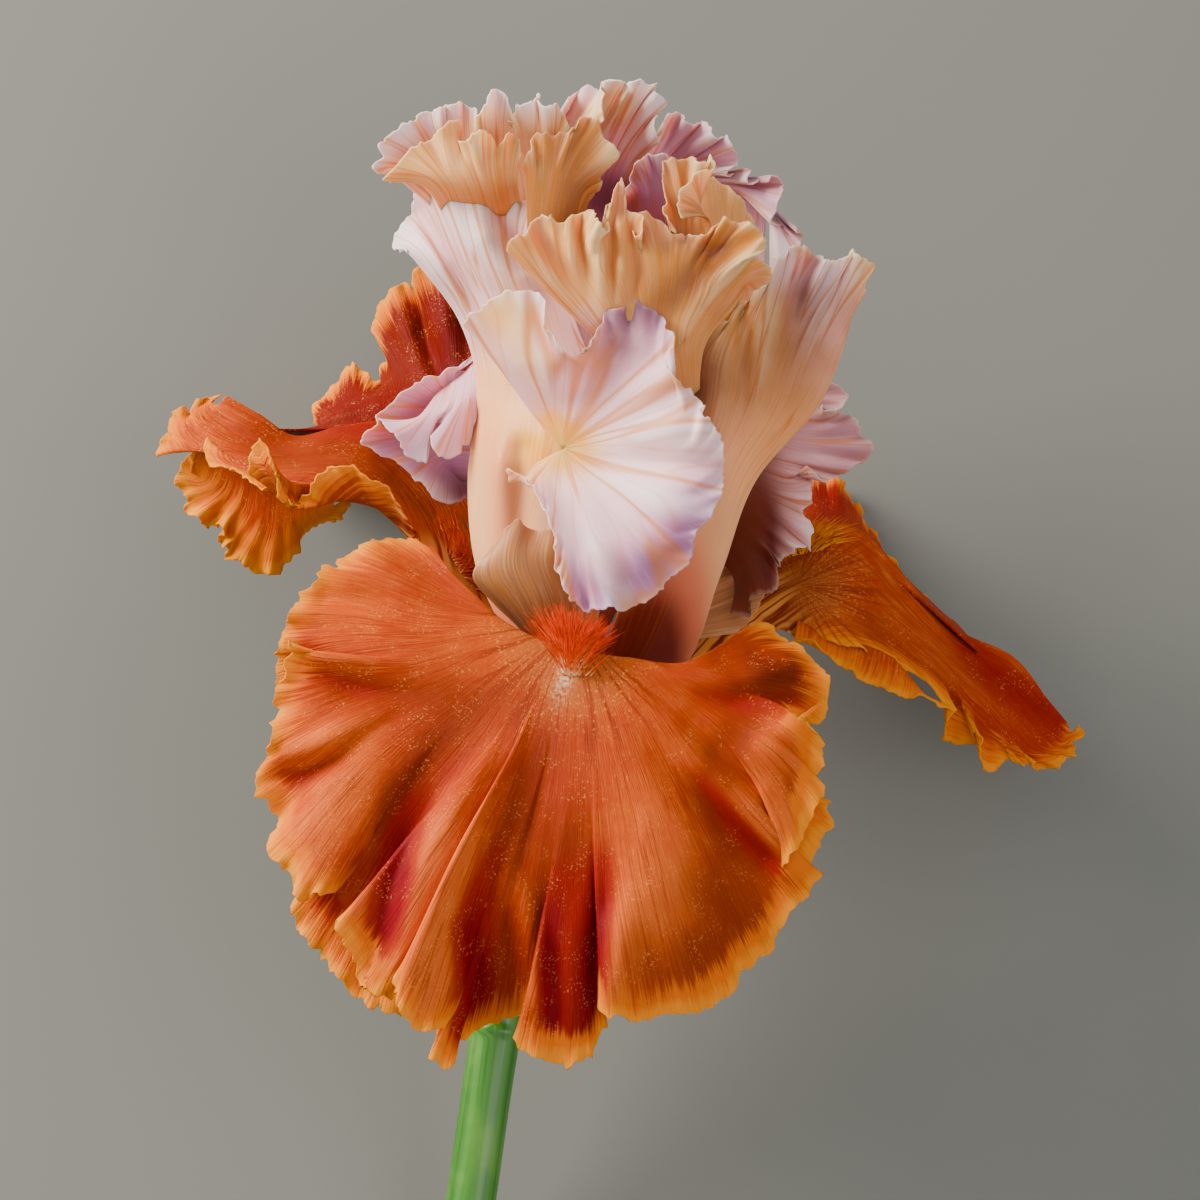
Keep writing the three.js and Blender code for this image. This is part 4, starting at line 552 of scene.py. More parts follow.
# The left front standard: its claw and panel, the pale and the peach ruffle that stand up behind the
# panel's top, the lobe at the front of the dome, and the fan flared from the claw.
STANDARD_LEFT = [
    {
        "reach": 0.16,
        "rows": [
            root_row(-60, PETAL_RING, ROOT_HALF_ARC),
            row([-15, 0, -1], [-13.5, 1, 3], [-10.5, 1, 6]),
            row([-21, 14, -2], [-17, 14, 6.5], [-9, 14, 10]),
            row([-22.5, 29, -3], [-17, 30, 7.5], [-1, 31, 11.2]),
            row([-21, 45, -4], [-13, 45, 7], [0, 44, 11]),
            row([-24, 56.5, -3], [-17, 57, 7], [-4, 56, 10.5]),
            row([-31, 66.5, 0], [-22, 67, 8.5], [-7, 66, 10.5]),
            row([-35, 73, -2], [-26, 77, 6], [-10, 77, 9.5]),
        ],
        "edge": [
            [-34, 68, 1], [-35.8, 68.7, -0.5], [-35.4, 70.8, -1.5], [-34, 73, -2], [-32, 75.3, -1.5],
            [-31, 79, -0.5], [-29, 79.8, 2.5], [-26.3, 79, 7.5], [-23.5, 78, 7.5], [-21, 76.8, 9.5],
            [-18, 76.3, 8], [-15.5, 76.8, 10.3], [-12.5, 76.6, 9.5], [-10.3, 78.3, 11.3],
            [-9.2, 80.8, 10.5], [-10.7, 83, 11.5], [-12.3, 84.5, 9.8],
        ],
    },
    {
        "reach": 0.4,
        "rows": [
            row([-29, 76, 2], [-21, 76, 5.5], [-12, 76, 6.5], [-5, 74, 7]),
            row([-35, 81, 5.5], [-24, 84, 6.5], [-13, 84, 6.5], [-5, 82, 6.5]),
            row([-38, 83, 10], [-31, 90.5, 8.5], [-22, 92, 8.5], [-13, 92, 8], [-5, 89, 7]),
        ],
        "edge": [
            [-35.5, 79.7, 8.5], [-38.7, 82.2, 10], [-37.4, 84, 9], [-37.6, 86, 10], [-34.5, 88.6, 8.5],
            [-32, 90.3, 9.5], [-29.5, 91.8, 8], [-27, 92, 9], [-26.5, 93.3, 7.5], [-24, 92.9, 9],
            [-22.8, 93.6, 7.5], [-21.5, 92, 9.5], [-20.6, 91, 11.5], [-19.2, 94.2, 11.5],
            [-17.4, 94.9, 10], [-16, 94, 10.3], [-15.1, 90, 9.5], [-14.6, 92, 8], [-12.8, 93.4, 9],
            [-10.5, 94.5, 7.2], [-9.2, 92.9, 8.8], [-7.5, 93, 7], [-5.8, 90.5, 7.5], [-4.8, 87.5, 6.8],
        ],
    },
    {
        "reach": 0.4,
        "rows": [
            row([-27, 75, 5.5], [-21, 74.5, 7], [-13, 74, 8]),
            row([-30, 79, 11.5], [-22, 79.5, 13.2], [-14, 79, 11.5]),
            row([-36, 80, 13], [-28, 87, 13.5], [-21, 87.5, 14], [-14, 86, 12]),
        ],
        "edge": [
            [-33, 79.7, 11.5], [-37, 79.5, 12], [-34.7, 81.7, 14], [-33, 84.2, 12.8], [-30.8, 86, 14],
            [-28.6, 87.2, 12.5], [-26.4, 88.8, 13.8], [-24.2, 89.7, 11.8], [-23.6, 88.7, 11],
            [-24.3, 86.5, 12.5], [-22.7, 86.2, 16], [-21.3, 87.7, 16.5], [-19.9, 88.5, 14.5],
            [-18.9, 86.8, 12.5], [-17.9, 85, 12], [-16.4, 86.5, 13], [-15, 88.2, 12], [-13.6, 87.3, 11],
            [-13.6, 84, 11],
        ],
    },
    {
        "reach": 0.3,
        "rows": [
            row([-12, 62, 9.7], [-8, 61, 10], [-4, 59, 10.5]),
            row([-12.5, 75, 11], [-7, 74, 11.5], [-3, 73, 10.5]),
            row([-12.5, 85, 11], [-5, 88, 11], [0, 80, 9]),
        ],
        "edge": [
            [-13, 82, 10.8], [-12.2, 85.2, 11.8], [-11.6, 87.3, 10.8], [-9.4, 88.4, 11.6],
            [-6, 87.7, 10.4], [-4, 89.5, 10.8], [-2.2, 91, 9.6], [-0.3, 90.4, 9.8], [0.8, 88, 9.4],
            [2.5, 85.4, 9.4], [1.6, 82.5, 8.8], [0, 79.5, 8.8], [-2, 76.5, 8.6],
        ],
    },
    {
        "face": -1, "reach": 0.2,
        "rows": [
            row(
                [-6.5, 34.3, 14], [-6.4, 34.5, 14.1], [-6.2, 34.5, 14.3], [-6, 34.4, 14.4],
                [-6.1, 34.2, 14.3], [-6.2, 34.1, 14.1], [-6.4, 34.1, 14],
            ),
            row(
                [-11, 39.5, 12.8], [-7.5, 42, 14], [-2, 42, 15.5], [1, 38, 16.5], [1, 32.5, 17],
                [-2, 28, 17], [-6, 27.5, 16], [-9, 29.5, 14.5], [-11, 31.5, 12.6],
            ),
            row(
                [-17.5, 48.5, 15], [-12, 51, 17.5], [-7, 48, 19.5], [3, 48, 21], [8.5, 44, 23],
                [12, 36, 24.5], [11.5, 26, 25.5], [7, 18, 26], [0, 14, 26], [-5, 18, 24.5],
                [-9.5, 25, 20], [-12.5, 29.5, 15.5],
            ),
            row(
                [-23, 55.5, 15], [-12, 61, 19.5], [-7, 50, 22.5], [2, 57, 22.5], [11, 53, 24],
                [17, 42, 25.5], [21, 32, 26.5], [17, 20, 26.5], [8, 8.5, 27], [-3, 8, 27], [-8, 17, 25],
                [-11, 27, 20], [-15.5, 29.5, 16],
            ),
        ],
        "edge": [
            [-23.4, 55.6, 15.5], [-21, 57.6, 16.5], [-18.5, 59.5, 18.5], [-15, 60.6, 18.3],
            [-12, 60.9, 20], [-10.3, 59.4, 20.8], [-9.7, 56, 22.5], [-8.5, 52.5, 23.2],
            [-6.8, 50.2, 22.8], [-4.5, 49.8, 22], [-2, 51, 22], [-0.3, 54, 22.8], [0.8, 57, 22],
            [2.8, 57.8, 23.8], [5, 59, 22.6], [7.3, 58.4, 24.2], [9.4, 57.2, 23], [10.3, 55.4, 24.6],
            [12.2, 53.5, 24], [11.9, 50.5, 25], [11.4, 48.6, 24], [13.2, 46, 25.4], [16, 43, 25],
            [18, 39.6, 26.4], [20.4, 36.4, 25.8], [20.9, 33, 26.8], [20.6, 29.5, 26], [20.3, 26, 27],
            [19.2, 22.8, 26], [16.6, 20, 26.8], [15.8, 16.6, 26], [13.4, 13.6, 27.2], [11, 11, 26.4],
            [8, 8.6, 27.6], [5, 7, 27], [1.5, 7.4, 27.8], [-2, 7, 27], [-5, 8.6, 27.6], [-6.6, 12, 26.4],
            [-7.8, 17, 25.5], [-9.4, 22, 23.5], [-11, 26.5, 21], [-13.2, 29.6, 18.5], [-15.5, 30.4, 16.8],
            [-15.3, 28.8, 14.5],
        ],
    },
]

# The right front standard: its claw and wing, the ruffle over its middle, the cupped lobe and the
# broad lobe behind the ruffle.
STANDARD_RIGHT = [
    {
        "reach": 0.16,
        "rows": [
            root_row(60, PETAL_RING, ROOT_HALF_ARC),
            row([0, -2, 6.5], [7, -3, 6], [13.5, -4, 1]),
            row([5, 13, 12], [13, 12, 11], [20.5, 13, 3]),
            row([8, 31, 15], [17, 30, 14], [26.5, 29, 3]),
            row([8, 45, 15], [22, 44, 13.5], [38, 43, 2.5]),
            row([6, 57, 13], [26, 60, 10.5], [45, 62, 1]),
        ],
        "edge": [
            [6, 56, 13], [13, 56.5, 13], [20, 56, 12.4], [23.6, 57, 10.8], [24.2, 59.2, 11.4],
            [26.2, 60.6, 10.2], [28, 62, 10.6], [30, 64.6, 8.8], [30.2, 66.8, 9.6], [31.8, 68, 8],
            [34, 68.8, 8.6], [36.6, 67.8, 6.4], [39, 66.4, 7], [41, 66.8, 4.8], [42.4, 67.2, 5.4],
            [43.4, 68.8, 3.6], [44.4, 67.2, 4.6], [46.4, 65.2, 2], [45.6, 62.6, 1.4], [43.4, 58, 0.6],
        ],
    },
    {
        "reach": 0.24,
        "rows": [
            row([9, 42, 14.7], [12.5, 41.5, 14.9], [17, 41, 14.2]),
            row([4, 48, 15.5], [9.5, 48, 17.2], [17, 47.5, 16]),
            row([-2, 54, 17], [7, 56, 19], [18.5, 53, 17.5]),
            row([-9, 60.8, 19], [3, 64, 20.5], [14, 62.5, 20], [24, 60, 17.5]),
            row([-15.5, 67.5, 21.5], [-6, 73, 21], [6, 73, 20.5], [16, 71, 19.5], [28, 69, 18]),
        ],
        "edge": [
            [-15.8, 67.3, 21], [-15, 69.2, 22.2], [-13.5, 70.4, 21], [-12.2, 71.4, 21.8], [-10.5, 73, 20],
            [-8.5, 72.7, 21.4], [-6.5, 72.2, 20], [-4.5, 73.3, 21.6], [-2.5, 74.1, 20],
            [-0.8, 73.8, 21.2], [0, 71.6, 23.6], [1, 71.2, 22.8], [1, 73.6, 20], [1.2, 75.4, 19],
            [2.1, 75.8, 20], [2.9, 78.4, 18.5], [4, 80.4, 17.8], [4.4, 77, 17.8], [4.8, 74, 18.8],
            [6.4, 72.6, 22], [6.5, 70.4, 23], [5.2, 72.8, 18.5], [7.6, 74.3, 17.6], [10, 73, 16.8],
            [12.6, 70.4, 18.4], [15.2, 70, 17.6], [18, 70.6, 19.6], [20.3, 72, 18], [21.6, 73.4, 19.2],
            [23.2, 72.2, 18], [25, 72.2, 19.2], [27.8, 70.4, 18.4], [27.9, 68.4, 19], [25.6, 66.4, 20],
            [28.4, 66, 16.6], [28.9, 63.6, 15.6], [27, 61.5, 15.4], [24.5, 59, 14.6],
        ],
    },
    {
        "reach": 0.3,
        "rows": [
            row([11, 51, 13.4], [15, 51, 13.2], [19, 51, 12.6]),
            row([11.5, 65, 13.5], [15, 65, 13], [19, 65, 12.3]),
            row([11.5, 77, 12.5], [15.5, 82, 9.5], [19, 81, 12]),
        ],
        "edge": [
            [12.5, 70, 15], [11.4, 75, 14.5], [11.2, 79, 11.5], [10.7, 83.6, 10], [13, 83.2, 10.8],
            [15, 83.8, 9.6], [17, 83, 10.8], [19, 83.8, 9.8], [19.9, 82.3, 11.5], [17.6, 81, 14],
            [14.6, 79.6, 15], [12.8, 77.5, 15.4], [13.8, 73, 15.2],
        ],
    },
    {
        "reach": 0.3,
        "rows": [
            row([14, 51, 12.9], [19, 51, 12.3], [24, 51, 10.8]),
            row([15, 66, 10.5], [20, 66, 10], [25, 64, 9]),
            row([15, 78, 7], [20, 80, 6.5], [26, 73, 8]),
        ],
        "edge": [
            [13.5, 76, 8.6], [15.5, 79.5, 7], [17.8, 81, 7.8], [20.4, 80.4, 6.4], [23, 78.4, 7.6],
            [24.6, 75.6, 7], [26.2, 73, 8.6],
        ],
    },
]

# The back standard: the back of the dome, the purple lobe inside it, the left flap and the right lobe.
STANDARD_BACK = [
    {
        "reach": 0.16,
        "rows": [
            root_row(180, PETAL_RING, -ROOT_HALF_ARC),
            row([-9.5, 1, -8], [-5, 1, -9.5], [0, 1, -8]),
            row([-13, 20, -11.5], [-2, 20, -14], [10, 20, -11.5]),
            row([-18, 42, -14], [2, 42, -20], [22, 42, -14]),
            row([-19, 62, -16], [5, 62, -24], [28, 62, -17]),
            row([-17, 80, -13], [7, 80, -20], [29, 78, -15]),
            row([-14, 91, -8], [-6, 94, -9], [4, 96, -9], [14, 91, -12], [24, 83, -12], [32, 72, -10]),
        ],
        "edge": [
            [-15, 89, -7], [-11, 91, -9], [-7.5, 91.5, -8], [-6, 92.5, -10], [-5, 95.2, -8.5],
            [-3.4, 96.5, -10.5], [-1.4, 97.1, -9], [0, 95.5, -8.5], [0.2, 90.6, -3.5], [-0.4, 94, -3],
            [0.6, 97.6, -5], [2.6, 98.4, -4], [4.9, 98, -6], [5, 95.6, -5.5], [4.6, 97.2, -9.5],
            [7, 97.9, -8.5], [9.4, 97.3, -11], [9.7, 95.5, -9.5], [10.5, 93.4, -11.5], [9.8, 90.5, -9.5],
            [10.4, 87.5, -9], [11, 90.5, -13], [12.4, 92.4, -12], [14, 92.4, -14], [15.6, 91.2, -12],
            [17.5, 91.4, -14], [19, 90, -12], [20, 89, -10.5], [22.2, 89, -12.5], [23.2, 87.4, -10.5],
            [23.8, 84.8, -12], [21.6, 82.2, -9.5], [24, 82.3, -13], [26.4, 82.4, -11.5], [26, 80.4, -9.5],
            [28, 80.8, -12], [29.6, 81.4, -10], [31.1, 80.4, -11.5], [31, 78, -9.5], [29.4, 73.5, -9],
            [32, 73.2, -11.5], [34, 72.5, -9.5], [35, 71, -11], [34, 70, -9], [34.6, 68.8, -10],
            [31.5, 67.4, -8.5], [29, 65, -8.5],
        ],
    },
    {
        "reach": 0.3,
        "rows": [
            row([3, 60, -23.3], [9, 60, -23.3], [15, 60, -22]),
            row([3.5, 73, -8], [9, 74, -6], [15, 72, -8]),
            row([4, 79, -3], [8.5, 85.5, -3], [13, 82, -4]),
        ],
        "edge": [
            [2.5, 74, -3], [3.6, 77.5, -1.5], [5, 81, -3], [6.4, 84, -2], [8, 85.6, -3.5],
            [10.4, 85.4, -2.5], [12.5, 83, -4.5], [14.5, 80, -4],
        ],
    },
    {
        "reach": 0.35,
        "rows": [
            row([-15.5, 49, -15.3], [-15, 38, -14.5], [-13, 27, -13.3]),
            row([-24, 48, -10], [-27, 38, -12], [-24, 29, -10]),
            row([-21.5, 51, -11], [-34, 43.5, -7], [-41, 36.2, -6], [-33, 30, -5], [-21, 27.5, -8]),
        ],
        "edge": [
            [-20.5, 52.5, -10.5], [-23, 49.2, -9.5], [-28, 47.2, -8], [-32, 45.6, -7], [-35.5, 43, -6.5],
            [-38.4, 40, -5], [-38.2, 39, -3.5], [-41.2, 35.8, -5.5], [-38, 33.6, -6], [-35.6, 32.8, -6.5],
            [-32.5, 29.8, -7], [-29.5, 26.8, -7.5], [-26.5, 25.2, -8], [-23.5, 25.8, -8.5],
            [-20.5, 27, -9],
        ],
    },
    {
        "face": -1, "reach": 0.5,
        "rows": [
            row([-20.5, 50.5, -10.2], [-24, 47, -9.6], [-28, 44, -9]),
            row([-20.5, 45, -4.5], [-25, 42, -3], [-31, 40, -3]),
            row([-21, 39, -2.5], [-26, 36.5, -0.5], [-36, 37, -2.5]),
        ],
        "edge": [
            [-20.6, 43, -4.5], [-21.5, 39, -3], [-22.6, 35.5, -3.5], [-24, 35.4, -1.5],
            [-24.2, 33.2, -0.5], [-26.4, 32.8, 0.5], [-28.4, 34, 0.8], [-29.4, 36, 0],
            [-27.6, 38.4, -1.5], [-29.5, 39.2, -5], [-31.5, 38.5, -5.5], [-29.4, 33, -1.5],
            [-30, 31.8, -1], [-33.2, 33.4, -0.5], [-35.2, 36.8, 0], [-38.2, 39.8, -3.5],
        ],
    },
    {
        "reach": 0.3,
        "rows": [
            row([19, 48, -15.5], [17, 36, -14.3], [11, 20, -12.2]),
            row([31, 47, -9], [28, 34, -8.5], [20, 16, -8]),
            row([40, 46, -5], [45, 38, -4], [38, 29, -3.5], [35, 18, -3.5], [26, 8, -4]),
        ],
        "edge": [
            [37, 48, -7], [39.5, 46.5, -5], [41.8, 44.8, -5.5], [42.8, 43, -3.5], [41, 42, -3],
            [38.2, 41.8, -1.5], [41.5, 41, -5], [44.4, 39.6, -3.5], [45, 37, -5], [46.6, 35, -3.5],
            [46.2, 32.4, -5], [43.8, 31.2, -3], [41, 30.2, -4.5], [38, 30, -2], [36, 30.6, -5],
            [36, 26, -2.5], [35.4, 23, -4.5], [36.6, 19.6, -2.5], [36.2, 17.2, -4.5], [33.5, 17.4, -2],
            [31.8, 15.4, -4], [30.4, 15, -1.5], [30.8, 12.4, -4], [28.8, 9.6, -2], [26.4, 9.4, -3.4],
            [25.6, 5.6, -1.6], [22.4, 6.4, -2.8],
        ],
    },
]

# The style arms, from the tube to their crests.
STYLE_FRONT = [
    {
        "reach": 0.35,
        "rows": [
            root_row(0, STYLE_RING, STYLE_HALF_ARC),
            row([-8.5, -4, 5.5], [-7, -4, 7], [-5, -4, 5.5]),
            row([-13, 3, 12.5], [-8, 2, 13.5], [-1.5, 2, 12]),
            row([-18, 8, 15], [-10, 8.5, 17.5], [0, 8, 15.5]),
            row([-21.5, 12.5, 16], [-12, 15, 19], [-1, 13, 17]),
            row([-19, 17, 16.5], [-14, 21.5, 18], [-10, 20, 19], [-6, 21, 18.5], [-2, 17, 17]),
        ],
        "tip": [[0, 0], [0.3, 1], [0.5, -1.2], [0.7, 1], [1, 0]],
    },
]
STYLE_LEFT = [
    {
        "reach": 0.35,
        "rows": [
            root_row(-120, STYLE_RING, -STYLE_HALF_ARC),
            row([-10.8, -5, -1], [-10.5, -5, -3], [-8.8, -5, -4.5]),
            row([-14.8, 5, -2.6], [-14, 7, -5], [-11, 9, -7.3]),
            row([-18.3, 13, -4.5], [-18, 16, -7], [-14.5, 18, -9]),
        ],
        "tip": [[0, 0], [0.5, 0.8], [1, 0]],
    },
]
STYLE_RIGHT = [
    {
        "reach": 0.45,
        "rows": [
            root_row(120, STYLE_RING, STYLE_HALF_ARC),
            row([-3, -6, -1.2], [-2, -5, -2.8], [-2.8, -3.5, -4.2]),
            row([8, 0, -2], [8, 4, -6], [6.5, 7, -7.5]),
            row([18, 2, -4], [18, 8, -7], [15, 13, -9]),
            row([24.5, 3, -5], [27, 7.5, -5.5], [28, 11, -7], [24, 14, -9], [19, 16, -10.5]),
        ],
        "tip": [[0, 0], [0.25, 1], [0.5, -1], [0.75, 1], [1, 0]],
    },
]

# The two bracts round the ovary.
SPATHE_OUTER = [
    {
        "rows": [
            bract_row(-62.6, STEM_RADIUS + 0.9, 60, 96),
            bract_row(-56, 5.9, 60, 96),
            bract_row(-44, 7.4, 60, 88),
            bract_row(-30, 8, 60, 62),
            bract_row(-20, 8.3, 60, 34),
            bract_row(-13, 9, 60, 6),
        ],
    },
]
SPATHE_INNER = [
    {
        "rows": [
            bract_row(-61, STEM_RADIUS + 0.9, 240, 78),
            bract_row(-54, 5.9, 240, 76),
            bract_row(-44, 7.0, 240, 70),
            bract_row(-32, 7.6, 240, 52),
            bract_row(-24, 7.8, 240, 28),
            bract_row(-18, 8, 240, 6),
        ],
    },
]


# ---- fine blades -------------------------------------------------------------------------------


def fine_blade(ply, look):
    """One ply as a fine grid: middle surface, thickness, and what its material needs at each point.

    A look gives the seed, the step between columns and the row_step between rows in mm, how far rows
    crowd to the rim, the thickness, the strokes of its relief, a notch (height, wavelength) along
    the rim, and frills, a list of (height, wavelength, reach) in mm, largest first.
    """
    probe, _ = folded_surface(ply, np.linspace(0, 1, 60), np.linspace(0, 1, 20))
    widest = max(lengths(probe, 1)[:, -1].max(), 10)
    longest = lengths(probe, 0)[-1].max()
    us = np.linspace(0, 1, int(widest / look["step"]))
    depth = int(longest / look.get("row_step", look["step"] * 1.6))
    vs = 1 - (1 - np.linspace(0, 1, depth)) ** look.get("crowd", 1.2)
    seed = look["seed"]
    points, fold = folded_surface(ply, us, vs)
    relief = strokes_height(points, look.get("relief", ()))
    points[..., 2] += relief
    fold = fold + relief
    for k, (amount, wavelength, reach) in enumerate(look["frills"]):
        places, inward = rim_places(points)
        across, _, normal = grid_frame(points)
        height = amount * wander(places, wavelength, seed + 10 * k + 3)
        height = height[None, :] * np.exp(-((inward / reach) ** 1.4))
        slope = np.gradient(height, axis=1)
        slope /= np.maximum(np.linalg.norm(np.gradient(points, axis=1), axis=-1), 0.05)
        points = points + normal * height[..., None] - across * (0.6 * height * slope)[..., None]
        fold = fold + height * ply.get("face", 1)
    places, inward = rim_places(points)
    _, along, _ = grid_frame(points)
    notch, notch_wave = look.get("notch", (0.5, 1.9))
    jag = notch * (wander(places, notch_wave, seed + 5) + 0.6 * wander(places, notch_wave / 2.7, seed + 6))
    points = points + along * (jag[None, :] * np.exp(-((inward / 1.6) ** 1.2)))[..., None]
    _, inward = rim_places(points)
    _, _, normal = grid_frame(points)
    thick = look.get("thick", 0.5)
    if "focus" in look:
        _, distance = around(points, look["focus"])
        thick = thick * (0.1 + 0.9 * smooth(0.3, 3.5, distance))
    return {
        "points": points,
        "normal": normal,
        "thickness": thick * (0.4 + 0.6 * smooth(0, 6, inward)),
        "us": drawn_rim(ply, us)[0] if drawn(ply) else us,
        "rim_us": us,
        "vs": vs,
        "rim": np.minimum(inward, 99.0),
        "fold": fold,
        "rim_length": lengths(points, 1)[-1, -1],
        "way": lengths(points, 0),
    }


def rim_places(points):
    """Each column's place along the rim, and each point's distance in from it."""
    up = lengths(points, 0)
    return lengths(points, 1)[-1], up[-1][None, :] - up


def around(points, centre):
    """Angle and distance of each point round a centre, seen from the front."""
    x, y = (points[..., k] - centre[k] for k in (0, 1))
    return np.arctan2(y, x), np.hypot(x, y)


def blade_values(blade, look):
    """What a petal's material reads at each point: lines, distances, and its painted tints."""
    points = blade["points"]
    u, v = blade["us"][None, :], blade["vs"][:, None]
    start = 37.0 * look["seed"]
    haft = look.get("haft", 0.0)
    heart_x, heart_y, heart_width, heart_length = look.get("heart", (0.0, 999.0, 1.0, 1.0))
    offset = (points[..., :2] - [heart_x, heart_y]) / [heart_width, heart_length]
    values = {
        "line": (u + blade["rim_us"]) * blade["rim_length"] * 0.5 + start,
        "way": blade["way"],
        "rim": blade["rim"],
        "fold": blade["fold"],
        "haft": smooth(haft + 0.03, haft - 0.03, v) if haft else 0.0,
        "heart": np.exp(-(offset**2).sum(-1)),
        "ray": np.arctan2(points[..., 0] - heart_x, heart_y - points[..., 1]),
        "reach": np.hypot(points[..., 0] - heart_x, heart_y - points[..., 1]),
    }
    if "focus" in look:
        angle, distance = around(points, look["focus"])
        values["line"] = 9.0 * angle + start
        values["way"] = distance
    if "lengthwise" in look:
        foot = look["lengthwise"]
        values["line"] = lengths(points, 0) + start
        values["way"] = lengths(points, 1)
        values["haft"] = smooth(foot + 0.04, foot - 0.04, u)
    for tint in STANDARD_TINTS + FALL_TINTS:
        ground, *strokes = look.get(tint, (0.0,))
        values[tint] = strokes_height(points, strokes, ground)
    return values


# ---- meshes ------------------------------------------------------------------------------------


def add_values(mesh, values):
    for key, data in values.items():
        layer = mesh.attributes.new(key, "FLOAT", "POINT")
        layer.data.foreach_set("value", data.astype(np.float32))


def finish_piece(mesh, material):
    piece = bpy.data.objects.new(mesh.name, mesh)
    bpy.context.scene.collection.objects.link(piece)
    mesh.materials.append(material)
    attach(piece, "root")
    return piece


def slab_mesh(name, blades, keys, material):
    """One object from several blades, each a closed slab, with named values at its points."""
    verts = []
    faces = []
    values = {key: [] for key in keys}
    base = 0
    for blade in blades:
        shape = blade["points"].shape[:2]
        half = (blade["thickness"] / 2)[..., None] * blade["normal"]
        verts += [(blade["points"] + half).reshape(-1, 3), (blade["points"] - half).reshape(-1, 3)]
        for key in keys:
            values[key] += [np.broadcast_to(blade["values"][key], shape).reshape(-1)] * 2
        count = shape[0] * shape[1]
        grid = np.arange(count).reshape(shape) + base
        a, b, c, d = grid[:-1, :-1], grid[:-1, 1:], grid[1:, 1:], grid[1:, :-1]
        faces.append(np.stack([a, b, c, d], -1).reshape(-1, 4))
        faces.append(np.stack([a, d, c, b], -1).reshape(-1, 4) + count)
        ring = np.concatenate([grid[0, :-1], grid[:-1, -1], grid[-1, :0:-1], grid[:0:-1, 0]])
        after = np.roll(ring, -1)
        faces.append(np.stack([ring, ring + count, after + count, after], -1))
        base += 2 * count
    verts = to_part(np.concatenate(verts))
    faces = np.concatenate(faces)
    mesh = bpy.data.meshes.new(name)
    mesh.vertices.add(len(verts))
    mesh.vertices.foreach_set("co", verts.astype(np.float32).reshape(-1))
    mesh.loops.add(faces.size)
    mesh.loops.foreach_set("vertex_index", faces.reshape(-1).astype(np.int32))
    mesh.polygons.add(len(faces))
    mesh.polygons.foreach_set("loop_start", np.arange(0, faces.size, 4, dtype=np.int32))
    mesh.polygons.foreach_set("use_smooth", np.ones(len(faces), dtype=bool))
    add_values(mesh, {key: np.concatenate(parts) for key, parts in values.items()})
    mesh.update(calc_edges=True)
    mesh.validate()
    return finish_piece(mesh, material)


def tube_grid(centres, radii, sides, flats=1.0, helper=tube_front):
    """Rings round a path of centres; flats gives each ring's own factor at each side."""
    centres = np.asarray(centres, dtype=float)
    along = unit(np.gradient(centres, axis=0))
    right = unit(np.cross(along, helper))
    front = np.cross(right, along)
    angles = np.linspace(0, 2 * math.pi, sides, endpoint=False)
    reach = np.asarray(radii, dtype=float)[:, None] * (np.ones(sides) * flats)
    out = centres[:, None, :] + right[:, None, :] * (reach * np.sin(angles))[..., None]
    return out + front[:, None, :] * (reach * np.cos(angles))[..., None]


def tubes_mesh(name, tubes, values, material, flat_ends=False):
    """One object from closed tubes, each given as rings of points, with named values at the points."""
    faces = []
    base = 0
    for tube in tubes:
        count, sides = tube.shape[:2]
        grid = np.arange(count * sides).reshape(count, sides) + base
        over = np.roll(grid, -1, axis=1)
        faces += np.stack([grid[:-1], over[:-1], over[1:], grid[1:]], -1).reshape(-1, 4).tolist()
        faces += [grid[0, ::-1].tolist(), grid[-1].tolist()]
        base += count * sides
    verts = np.concatenate([tube.reshape(-1, 3) for tube in tubes])
    mesh = bpy.data.meshes.new(name)
    mesh.from_pydata(to_part(verts).tolist(), [], faces)
    add_values(mesh, values)
    for polygon in mesh.polygons:
        polygon.use_smooth = len(polygon.vertices) == 4 or not flat_ends
    mesh.validate()
    return finish_piece(mesh, material)


# ---- the flower's place ------------------------------------------------------------------------


def stem_rings():
    places = np.linspace(0, 1, 160)
    centres = curve_through(STEM_PATH)(places)
    collar = np.exp(-(((centres[:, 1] - COLLAR_HEIGHT) / 0.9) ** 2)) * (COLLAR_RADIUS - STEM_RADIUS)
    swell = 0.12 * np.sin(places * 9)
    return tube_grid(centres, STEM_RADIUS + collar + swell * 0.3, STEM_SIDES)


stem_points = stem_rings()
stem_low, stem_high = (np.array(corner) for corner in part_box("stem"))
laid = stem_points.reshape(-1, 3) @ LIE.T * MM
OFFSET = ((stem_low - laid.min(axis=0)) + (stem_high - laid.max(axis=0))) / 2


def to_part(points):
    """Millimetres in the flower's own frame to metres in the part's frame."""
    return np.asarray(points) @ LIE.T * MM + OFFSET


# ---- materials ---------------------------------------------------------------------------------


def ink(code):
    """A linear colour from a hex code."""
    parts = [int(code[i : i + 2], 16) / 255 for i in (1, 3, 5)]
    return tuple(c / 12.92 if c <= 0.04045 else ((c + 0.055) / 1.055) ** 2.4 for c in parts) + (1.0,)


